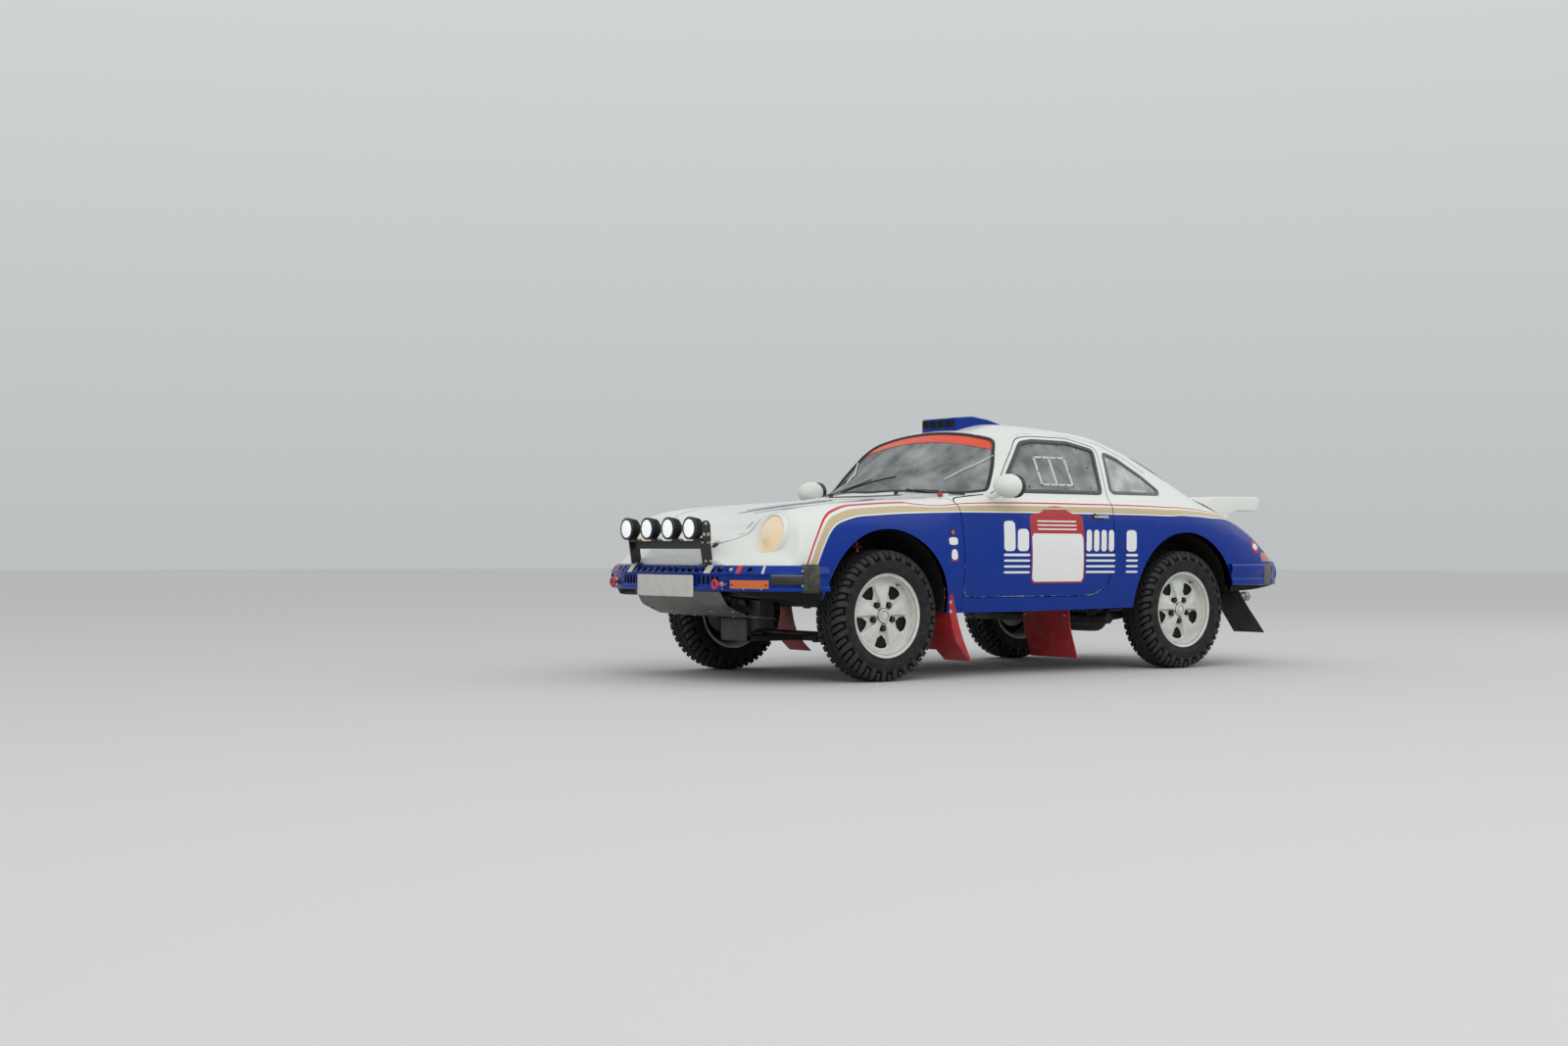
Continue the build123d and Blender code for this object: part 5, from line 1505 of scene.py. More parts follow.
def dress_lamps():
    """The bar with its four driving lamps, and the headlamps."""
    bar = Shape()
    bar.box((-862, -856), (-330, 330), (346, 388), 0)
    bar.box((-886, -828), (-336, 336), (382, 388), 0)
    for sign in (1, -1):
        y = sign * 334
        foot = [(-888, 388), (-888, 402), (-828, 402), (-824, 388), (-806, 264), (-868, 264)]
        bar.prism(softened(foot, 8), y - 4, y + 4, "y", 0)
        bar.side_prism([(-868, 264), (-806, 264), (-806, 270), (-868, 270)], sign, 334, 300)
        for p in (-852, -822):
            bolt(bar, (p, y + sign * 4, 282), (0, sign, 0), 5, 1, 3)
            bolt(bar, (p, y - sign * 18, 271), (0, 0, 1), 5, 1, 3)
        for p in (-874, -840):
            bolt(bar, (p, y + sign * 4, 380), (0, sign, 0), 5, 1, 3)
    # A taller end plate beside the outer lamp
    bar.prism(softened([(-878, 384), (-888, 470), (-874, 492), (-846, 492), (-832, 470), (-828, 384)], 8),
              344, 350, "y", 0)
    for p, z in ((-862, 476), (-872, 420), (-846, 420)):
        bolt(bar, (p, 350, z), (0, 1, 0), 6, 1, 3)
    build(bar, "lamp_bar_steel", ["trim", "steel"], "root", replaces=["lamp_bar"], slot="black_steel",
          bevel=1.2)
    lamps = Shape()
    for i in range(4):
        y = (i - 1.5) * 197.0
        origin, back = (-930, y, 452), (1, 0, 0)
        shell = [(0, 50), (-1, 56), (1, 59.5), (12, 60), (16, 57)]
        for k in range(5):
            at = 18 + k * 8.5
            shell += [(at, 52 - k), (at + 0.6, 58.5 - k * 1.6), (at + 3.6, 58.5 - k * 1.6),
                      (at + 4.2, 52 - k)]
        shell += [(62, 44), (70, 34), (78, 30), (78, 0.1)]
        lamps.solid([(4, 0.1)] + shell, origin, back, 48, 0)
        dome = [(4, 50.5)] + [(2 - 5 * cos(a), 50 * sin(a)) for a in np.linspace(pi / 2, 0.02, 9)]
        lamps.solid(dome, origin, back, 48, 1)
        for a in circle(8):
            spot = (origin[0], y + 54.5 * sin(a), origin[2] + 54.5 * cos(a))
            lamps.solid([(-2.5, 2.2), (1, 2.2)], spot, back, 8, 2)
        foot = [(y - 30, 388), (y + 30, 388), (y + 30, 392), (y + 12, 400), (y - 12, 400), (y - 30, 392)]
        lamps.prism(foot, -884, -846, "p", 0)
        for d in (-24, 24):
            bolt(lamps, (-866, y + d, 392), (0, 0, 1), 5, 2, 4)
        lamps.rod((-866, y, 398), (-866, y, 410), 9, 2)
    build(lamps, "driving_lamps", ["trim", "white_lens", "steel"], "root", replaces=["spot_lamps"],
          slot="spot_lamp", soft=28)

    heads = Shape()
    points = skin.table[:, POS]
    along, radial = lamp_coordinates(points)
    cut = LAMP_RADIUS - LAMP_INSET
    edges = [(a, b) for a, b in border([f for f, l in zip(skin.faces, skin.labels) if l != "waste"])
             if abs(radial[a] - cut) < 1.2 and abs(radial[b] - cut) < 1.2]
    ahead = np.array(LAMP_AXIS)
    for sign in (1, -1):
        for a, b in edges:
            quad = [points[a], points[b], points[b] - ahead * (along[b] + 14),
                    points[a] - ahead * (along[a] + 14)]
            heads.add([on_side(q, sign) for q in quad], [(0, 1, 2, 3)], 0)
        origin, axis = LAMP + LAMP_AXIS * 24, tuple(LAMP_AXIS)
        origin.y *= sign
        ring = [(-60, 98), (-60, 108), (-26, 109), (-24, 111), (-18, 111), (-16, 109), (-6, 109.5), (6, 110),
                (12, 108), (13, 104), (10, 101), (2, 99.5)]
        heads.lathe(ring, origin, axis, 72, 0)
        dome = [(-3, 101.5), (5, 101.5)]
        dome += [(6 + 19 * (1 - (r / 102) ** 2), r) for r in (100, 94, 84, 70, 56, 40, 22, 4)]
        heads.solid(dome, origin, axis, 72, 1)
        side = Vector((0, 1, 0))
        up = LAMP_AXIS.cross(side)
        for k in range(-7, 8):
            y = k * 12.0
            half = sqrt(94**2 - y * y)
            path = []
            for t in np.linspace(-half, half, 13):
                rise = 6.4 + 19 * (1 - (y * y + t * t) / 102**2)
                path.append(Vector(origin) + side * y + up * t + LAMP_AXIS * (rise - 1.2))
            heads.tube(path, 1.7, 1, 6)
        # The rim's screw at its lowest point
        low = Vector(origin) + LAMP_AXIS * 4 + (up * 112 * (-1 if up.z > 0 else 1))
        heads.solid([(-6, 7), (6, 7), (8, 5)], low, axis, 12, 2)
    build(heads, "headlamp_units", ["white", "warm_lens", "dark"], "root", replaces=["headlamps"],
          slot="headlamp_lens", soft=40)


dress_front()
dress_lamps()


# Structure behind the skin


def outer_y(place, z):
    """Half width of the skin at a height between belt and roof."""
    ring = section_at(place)[SIDE:]
    best = 0.0
    for (y0, z0), (y1, z1) in zip(ring, ring[1:]):
        if min(z0, z1) <= z <= max(z0, z1) and abs(z1 - z0) > 1e-6:
            best = max(best, y0 + (y1 - y0) * (z - z0) / (z1 - z0))
    return best


def floor_pan(shape, start, end, inner, outer):
    """Floor sheets on both sides, between two distances from the centre line and within the skin."""
    stations = np.linspace(start, end, max(2, int((end - start) / 60)))
    for sign in (1, -1):
        rings = []
        for place in stations:
            low_y, low_z = section_at(place)[0]
            far, z = min(outer, low_y - 5), low_z + 4
            rings.append([(place, sign * inner, z), (place, sign * far, z), (place, sign * far, z + 24),
                          (place, sign * inner, z + 24)])
        shape.loft(rings)


def bulkhead(shape, start, end, inset, top=2000.0, mark=0, low_half=2000.0):
    """A wall across the body, its outline drawn in from the skin."""
    ring = section_at((start + end) / 2)
    step = np.gradient(ring, axis=0)
    length = np.maximum(np.linalg.norm(step, axis=1, keepdims=True), 1e-9)
    out = np.stack([step[:, 1], -step[:, 0]], 1) / length
    drawn = ring - out * inset
    drawn = np.stack([np.maximum(drawn[:, 0], 0), np.clip(drawn[:, 1], ring[0, 1] + 4, top)], 1)[::2]
    drawn[:, 0] = np.where(drawn[:, 1] < 476, np.minimum(drawn[:, 0], low_half), drawn[:, 0])
    whole = [tuple(q) for q in drawn] + [(-q[0], q[1]) for q in drawn[::-1] if q[0] > 1]
    shape.prism(whole, start, end, "p", mark)


# Inner and outer radius of the wheel houses' sheet
HOUSE_INNER, HOUSE_OUTER = 415.6, 430


def wheel_house(shape, place, rise, inner):
    """The arch's liner on both sides and its ribbed wall towards the middle."""
    angles = [a for a in np.radians(np.linspace(-10, 190, 56))
              if rise + ARCH_RADIUS * sin(a) >= section_at(place + ARCH_RADIUS * cos(a))[0][1] + 2]
    for sign in (1, -1):
        rings = []
        for a in angles:
            near, back = ((place + r * cos(a), rise + r * sin(a)) for r in (HOUSE_INNER, HOUSE_OUTER))
            far = side_y(*near) - 46
            rings.append([(near[0], sign * inner, near[1]), (near[0], sign * far, near[1]),
                          (back[0], sign * far, back[1]), (back[0], sign * inner, back[1])])
        shape.loft(rings, 1)
        outline = [(place + 429 * cos(a), rise + 429 * sin(a)) for a in angles]
        shape.side_prism(outline, sign, inner - 15, inner, 1)
        # Pressed ribs on the wall of the wheel house
        for k in range(5):
            a = radians(30 + 30 * k)
            start, end = ((place + r * cos(a), sign * (inner + 1), rise + r * sin(a)) for r in (150, 380))
            shape.rod(start, end, 9, 1, 10)


# Places where the cabin ends at the rear bulkhead, and the engine bay at the rear panel
CABIN_END, BAY_END = 2322, 2972


def dress_structure():
    """Floor, wheel houses, bulkheads, sills and tunnel, and the hinges' knuckles on the body."""
    shape = Shape()
    house, half = ARCHES[1][0], ARCH_RADIUS + 1
    for start, end, inner, outer in (
            (-735, -434, 0, 700), (-434, 396, 0, 405), (396, house - half, 0, 800),
            (house - half, CABIN_END, 0, 520), (CABIN_END, house + half, 482, 519),
            (house + half, BAY_END, 482, 800), (BAY_END, REAR_AXLE + 905, 0, 800)):
        floor_pan(shape, start, end, inner, outer)
    wheel_house(shape, *ARCHES[0], 405)
    wheel_house(shape, *ARCHES[1], 520)
    bulkhead(shape, 440, 460, 24, 640, 0)
    bulkhead(shape, CABIN_END - 20, CABIN_END, 30, 2000, 2, 518)
    bulkhead(shape, BAY_END, BAY_END + 18, 26, 440, 0)
    for sign in (1, -1):
        shape.side_prism(rectangle(CABIN_END, BAY_END, 120, 430), sign, 480, 504)
        # Sill boxes, and the jacking points below them
        shape.side_prism(softened([(462, 36), (1830, 46), (1830, 92), (462, 88)], 12), sign, 655, 722)
        for place in (640.0, 1600.0):
            low_z = section_at(place)[0][1]
            shape.solid([(-14, 22), (-12, 24), (10, 24)], (place, sign * 735, low_z), (0, 0, 1), 24, 0)
    tunnel = softened([(-110, 34), (-92, 190), (92, 190), (110, 34)], 30)
    shape.prism([(y, z + 2) for y, z in tunnel], 462, 2300, "p", 2)
    for k in range(7):
        place = 520 + k * 250.0
        rib = softened([(place, 34), (place + 60, 34), (place + 52, 46), (place + 8, 46)], 6)
        for sign in (1, -1):
            shape.side_prism(rib, sign, 150, 600, 2)
    build(shape, "body_structure", ["under", "liner", "inner"], "root", replaces=["body_shell"],
          slot="paint_livery")
    hinges = Shape()
    for sign in (1, -1):
        for z in (170.0, 430.0):
            for k in range(-2, 3):
                hinges.solid([(-4.4, 8), (-4, 9), (4, 9), (4.4, 8)], (500, sign * 770, z + k * 9), (0, 0, 1),
                             16, 0)
    # Latch striker on the body behind the door
    for sign in (1, -1):
        hinges.tube([(1668, sign * 742, 400), (1668, sign * 724, 400), (1668, sign * 724, 360),
                     (1668, sign * 742, 360)], 5, 0, smooth=1)
    build(hinges, "hinge_knuckles", ["steel"], "root", replaces=["body_shell"], slot="paint_livery")


def dress_seals():
    """Rubber round the glass, window frames, drip rails and the screen's clips."""
    seal = Shape()
    for label, height in (("screen", 6), ("rear_window", 5)):
        table, faces = both_halves(*skin.take(label))
        points, normals = outline_loop(table, faces)
        bead(seal, points, normals, 10, height)
        if label == "screen":
            for share in (0.02, 0.12, 0.21, 0.30, 0.38, 0.48, 0.56, 0.64, 0.72, 0.80, 0.88, 0.95):
                i = int(share * len(points))
                if points[i][2] > 730:
                    bolt(seal, points[i] + normals[i] * 5, normals[i], 4, 2, 3)
    for sign in (1, -1):
        points, normals = outline_loop(*skin.take("quarter_window"))
        bead(seal, on_side(points, sign), on_side(normals, sign), 11, 4, 1)
        # Drip rail from the windscreen pillar over the roof edge to the rear
        rail, up = [], []
        for place, z in softened([(700, 738), (860, 830), (1060, 978), (1160, 1004), (1500, 1004),
                                  (1760, 964), (2000, 880), (2140, 800)], 60, closed=False):
            y = outer_y(place, z)
            rail.append((place, sign * y, z))
            up.append((0, sign * 0.8, 0.6))
        points, normals = spread(np.array(rail), np.array(up), 14, closed=False)
        bead(seal, points, normals, 3.2, 6, 3, closed=False, sink=3)
    build(seal, "glass_seals", ["trim", "grey_rubber", "steel", "white"], "root", replaces=["body_shell"],
          slot="black_rubber", soft=50)
    for side, sign in SIDES:
        frame_piece = Shape()
        points, normals = outline_loop(*skin.take("door_window"))
        bead(frame_piece, on_side(points, sign), on_side(normals, sign), 12, 4, 0)
        body = f"door_{side}"
        # A sliding pane in a white frame, riveted into the plastic window
        low, high, front, back = 712, 868, 1180, 1420

        def at_pane(place, z, lift):
            y = outer_y(place, z) - 6 + lift
            return (place, sign * y, z)

        slant = (0, sign * 0.9, 0.42)
        bars = [((front, z), (back, z)) for z in (low, high)]
        bars += [((place, low), (place, high)) for place in (front, back, 1296)]
        for a, b in bars:
            steps = [np.array(at_pane(a[0] + (b[0] - a[0]) * t, a[1] + (b[1] - a[1]) * t, 1.0))
                     for t in np.linspace(0, 1, 6)]
            bead(frame_piece, np.array(steps), np.array([slant] * 6), 7, 5, 1, closed=False, sink=2)
        rivets = [(front + k * 60.0, z) for k in range(5) for z in (low, high)] + [(front, 790), (back, 790)]
        for place, z in rivets:
            bolt(frame_piece, at_pane(place, z, 6), slant, 3, 2, 1.5)
        for place, z in ((800, 700), (930, 700), (1080, 700), (1560, 700), (1600, 820), (1560, 930),
                         (1400, 940), (1200, 935), (1020, 850), (900, 740)):
            bolt(frame_piece, at_pane(place, z, 1), slant, 3.4, 2, 1.5)
        build(frame_piece, f"window_frame_{side}", ["frame", "cage", "dark"], body,
              replaces=[f"{body}_window"], slot="side_glazing", soft=50)


# Middle of the left mirror, its length ahead of that point, and the shorter rear part's share
MIRROR = Vector((778, 868, 692))
EGG_LENGTH, EGG_BACK = 92, 0.72


def dress_doors():
    """Inner trims, hinge arms, handles and mirrors."""
    for side, sign in SIDES:
        body = f"door_{side}"
        card = Patch(*skin.take("door"), "door")
        lining = softened([(560, 150), (560, 560), (1610, 560), (1580, 170)], 30)
        card.cut(lambda q: polygon_distance(q[:, [0, 2]], lining), "door", "card")
        table, faces = card.take("card")
        table[:, POS] -= table[:, NRM] * 50.5
        if sign < 0:
            table, faces = flipped(table, faces)
        panel(f"door_{side}_card", table, faces, 4, body, ["shell"] * 3, replaces=[body],
              slot="paint_livery")
        parts = Shape()
        for z in (170.0, 430.0):
            arm = softened([(495, 765), (505, 765), (505, 733), (550, 733), (550, 737), (592, 737),
                            (592, 716), (495, 716)], 3)
            parts.prism([(a, sign * b) for a, b in arm], z - 18, z + 18, "z", 0)
            parts.solid([(-20, 9.5), (-18, 11), (18, 11), (20, 9.5)], (500, sign * 770, z), (0, 0, 1), 24, 0)
        y = sign * 690
        parts.tube([(900, y, 400), (900, y - sign * 34, 406), (1220, y - sign * 34, 420), (1220, y, 420)],
                   10, 1, smooth=2)
        parts.solid([(0, 20), (10, 20), (13, 16)], (1320, y + sign * 8, 380), (0, -sign, 0), 24, 1)
        parts.tube([(1320, y - sign * 6, 380), (1330, y - sign * 20, 330), (1333, y - sign * 34, 322)], 6, 1,
                   smooth=1)
        # Outer handle: a recess plate, a grip and its lock
        z = 530.0
        base = side_y(1550, z)
        parts.solid([(-6, 20), (-1.2, 22), (0.6, 21)], (1572, sign * base, z - 8), (0, sign, 0), 28, 3)
        parts.solid([(-6, 20), (1, 22), (1.8, 19)], (1508, sign * base, z + 2), (0, sign, 0), 28, 1)
        grip = []
        for t in np.linspace(0, 1, 12):
            rise = 4 + 15 * sin(pi * min(t * 1.3, 1)) ** 0.6 if t < 0.77 else 13 + 6 * t
            place, thick = 1500 + 100 * t, 6 + 3.5 * t
            grip.append([(place, sign * (base + rise * 0.7 + thick * 0.6 * cos(a)), z + 4 + thick * sin(a))
                         for a in circle(12)])
        parts.loft(grip, 2)
        parts.solid([(0, 7), (14, 7), (15, 6)], (1590, sign * (base + 4), z + 4), (0, sign, 0), 16, 2)
        build(parts, f"door_{side}_fittings", ["dark", "trim", "steel", "liner"], body, replaces=[body],
              slot="paint_livery", soft=40)
        mirror = Shape()
        egg = []
        for t in np.linspace(0.02, 0.985, 26):
            a = pi * t
            wide = sin(a) ** 0.92
            ring = []
            for k in range(40):
                b = 2 * pi * k / 40
                place = MIRROR.x - EGG_LENGTH * cos(a) * (1 if t < 0.5 else EGG_BACK)
                ring.append((place, sign * (MIRROR.y + 76 * wide * cos(b)), MIRROR.z + 66 * wide * sin(b)))
            egg.append(ring)
        mirror.loft(egg, 0)
        glass_middle = (MIRROR.x + EGG_LENGTH * EGG_BACK, sign * MIRROR.y, MIRROR.z)
        mirror.lathe([(-24, 58), (-20, 64), (1, 60), (2.4, 56), (-1, 54)], glass_middle, (1, 0, 0), 40, 1)
        mirror.solid([(-8, 55), (-2, 56), (-1.5, 30)], glass_middle, (1, 0, 0), 40, 2)
        mirror.tube([(756, sign * 716, 636), (764, sign * 780, 640), (772, sign * 828, 660)], 13, 0, 14,
                    smooth=2)
        mirror.solid([(-2, 30), (3, 28), (6, 22)], (757, sign * 722, 637), (-0.05, sign, 0.3), 28, 0)
        build(mirror, f"door_{side}_egg_mirror", ["white", "trim", "steel"], body,
              replaces=[f"{body}_mirror"], slot="paint_white", soft=50)


def dress_tail():
    """Tail slab, roof scoop and pod, tail lamps and mud flaps."""
    half, edge_round = 610, 22
    profile = softened(behind([(392, 545), (392, 650), (440, 676), (886, 682), (890, 640), (872, 592),
                               (650, 582), (575, 560), (540, 512)]), 32, steps=6)
    rings = []
    stations = np.concatenate([-half + edge_round * (1 - np.cos(np.linspace(0, pi / 2, 8))),
                               np.linspace(-half + 2 * edge_round, half - 2 * edge_round, 31),
                               half - edge_round * (1 - np.cos(np.linspace(pi / 2, 0, 8)))])
    centre = np.array([REAR_AXLE + 690, 630])
    for y in stations:
        inset = max(0.0, edge_round - (half - abs(y)))
        drawn = edge_round - sqrt(max(0.0, edge_round**2 - inset * inset)) if inset else 0.0
        ring = []
        for place, z in profile:
            away = np.array([place, z]) - centre
            away /= max(np.linalg.norm(away), 1e-9)
            place, z = place - away[0] * drawn, z - away[1] * drawn
            if place < REAR_AXLE + 600:
                z = max(z, deck(place, y) - (6 if abs(y) < 380 else -9))
            ring.append((place, y, z))
        rings.append(ring)
    slab = Shape()
    slab.loft(rings, 0)
    for k in range(9):
        place = REAR_AXLE + 470 + k * 26
        slab.prism(softened([(place, 676), (place + 16, 677), (place + 16, 681.5), (place, 681)], 2), -300,
                   300, "y", 1)
    for sign in (1, -1):
        for place in (REAR_AXLE + 430, REAR_AXLE + 530):
            bolt(slab, (place, sign * 380, deck(place, 380) + 6), (0.2, 0, 1), 5, 2, 3)
    build(slab, "tail_slab", ["white", "liner", "steel"], "engine_lid", replaces=["tail_spoiler"],
          slot="paint_white", soft=45)

    vents = Shape()
    scoop = [(1035, 1030), (1035, 1109), (1050, 1113), (1171, 1124), (1300, 1108), (1395, 1084),
             (1395, 1040)]
    scoop = softened(scoop, 10)
    rings = []
    for y in (-150, -148, -140, -70, 0, 70, 140, 148, 150):
        drawn = max(0.0, (abs(y) - 140) * 0.6)
        rings.append([(place + (drawn if place < 1100 else -drawn), y, max(z - drawn, deck(place, y) - 8))
                      for place, z in scoop])
    vents.loft(rings, 0)
    # A black sheet across the scoop's closed front, behind the three bars: painted shade of the intake's
    # inside.
    vents.box((1031, 1040), (-136, 136), (1058, 1100), 1)
    for y in (-68, 0, 68):
        vents.box((1026, 1036), (y - 3, y + 3), (1056, 1102), 0)
    pod = softened([(1985, 955), (2000, 1030), (2060, 1040), (2130, 1016), (2170, 955)], 22)
    rings = []
    for y in np.linspace(-130, 130, 17):
        share = sqrt(max(0.0, 1 - (y / 130) ** 2))
        rings.append([(place, y, max(deck(place, y) - 6, deck(place, y) - 6 + (z - 960) * share))
                      for place, z in pod])
    vents.loft(rings, 2)
    build(vents, "roof_vent_housings", ["blue", "liner", "white"], "root", replaces=["roof_vents"],
          slot="paint_livery", soft=40)

    table, faces = skin.take("tail_lamp")
    for side, turn in HALVES:
        panel(f"tail_lamp_{side}_lens", *turn(table.copy(), list(faces)), 8, "root", ["red_lens"] * 3,
              replaces=["tail_lamps"], slot="tail_lens")

    flaps = Shape()
    front_line = [(404, 150), (407, 80), (412, 0), (428, -75), (452, -140), (505, -204), (560, -253)]
    middle_line = [(1421, 38), (1425, -60), (1436, -110), (1452, -160), (1471, -216), (1490, -268)]
    for sign in (1, -1):
        for line, y_from, y_to in ((front_line, 592, 798), (middle_line, 302, 678)):
            flaps.side_prism(line + [(a + 5, b) for a, b in line[::-1]], sign, y_from, y_to)
            edge = [(a - 1, b) for a, b in line] + [(a + 6, b) for a, b in line[::-1]]
            flaps.side_prism(edge, sign, y_to - 4, y_to + 1, 1)
            top = line[0]
            for y in (y_from + 30, y_to - 30):
                for drop in (16, 60):
                    for out, way in ((-2, -1), (8, 1)):
                        bolt(flaps, (top[0] + out, sign * y, top[1] - drop), (way, 0, 0), 6, 2, 3)
    for sign in (1, -1):
        rings = []
        for z, front, back in ((128, 404, 419), (60, 405, 441), (0, 410, 458), (-60, 424, 476),
                               (-140, 452, 508), (-204, 505, 540), (-250, 557, 562)):
            y = max(799.5, min(side_y(425, z) + 1.5, 804)) if z > 5 else 799.5
            rings.append([(front, sign * y, z), (back, sign * y, z), (back, sign * (y + 4), z),
                          (front, sign * (y + 4), z)])
        flaps.loft(rings, 0)
        for z in (116, 66, 16):
            bolt(flaps, (414, sign * 803, z), (0, sign, 0), 7, 2, 3)
    build(flaps, "front_flap_sheets", ["red_flap", "tow", "steel"], "root", replaces=["front_mudflaps"],
          slot="red_flap", bevel=0.8)
    rear = Shape()
    for sign in (1, -1):
        line = behind([(493, 168), (499, 100), (520, 50), (560, 0), (640, -85), (697, -150)])
        rings = []
        for a, b in line:
            inner = np.interp(b, [-150, 60, 168], [562, 570, 620])
            outer = np.interp(b, [-150, 60, 168], [798, 790, 740])
            rings.append([(a, sign * inner, b), (a, sign * outer, b), (a + 5, sign * outer, b),
                          (a + 5, sign * inner, b)])
        rear.loft(rings, 0)
        for y in (640, 720):
            for out, way in ((493, -1), (503, 1)):
                bolt(rear, (REAR_AXLE + out, sign * y, 150), (way, 0, 0), 7, 1, 3)
    build(rear, "rear_flap_sheets", ["rubber", "steel"], "root", replaces=["rear_mudflaps"],
          slot="black_flap", bevel=0.8)


def label(shape, outline, sign, lift=1.2, mark=0, rows=14):
    """A thin sheet on the body's side, given as (place, z), following the skin."""
    polygon = np.array(outline)
    low, high = polygon.min(0), polygon.max(0)
    low, high = low - 1, high + 1
    places = np.linspace(low[0], high[0], max(6, int((high[0] - low[0]) / 14)))
    zs = np.linspace(low[1], high[1], max(rows, 5))
    grid = np.array([[(p, side_y(p, z), z) for z in zs] for p in places])
    patch = Patch(skin_table(grid, grid_normals(grid), 0.0), grid_faces(len(places), len(zs)), "plate")
    patch.cut(lambda q: polygon_distance(q[:, [0, 2]], polygon), "plate", "label")
    table, faces = patch.take("label")
    normal = table[:, NRM] * np.sign(table[:, 4:5])
    outer, inner = table[:, POS] + normal * lift, table[:, POS] - normal * 1.0
    n = len(table)
    whole = list(faces) + [tuple(n + i for i in reversed(f)) for f in faces]
    whole += [(b, a, n + a, n + b) for a, b in border(faces)]
    shape.add(on_side(np.vstack([outer, inner]), sign), whole, mark)


# Heights of the plain bars on the side
BAR_HEIGHTS = ((312, 326), (218, 230), (250, 262), (282, 294))


def side_bars(shape, start, end, sign):
    """The four plain bars on the body's side, from one place to another."""
    for low, high in BAR_HEIGHTS:
        label(shape, rectangle(start, end, low, high), sign, 1.0, 0)


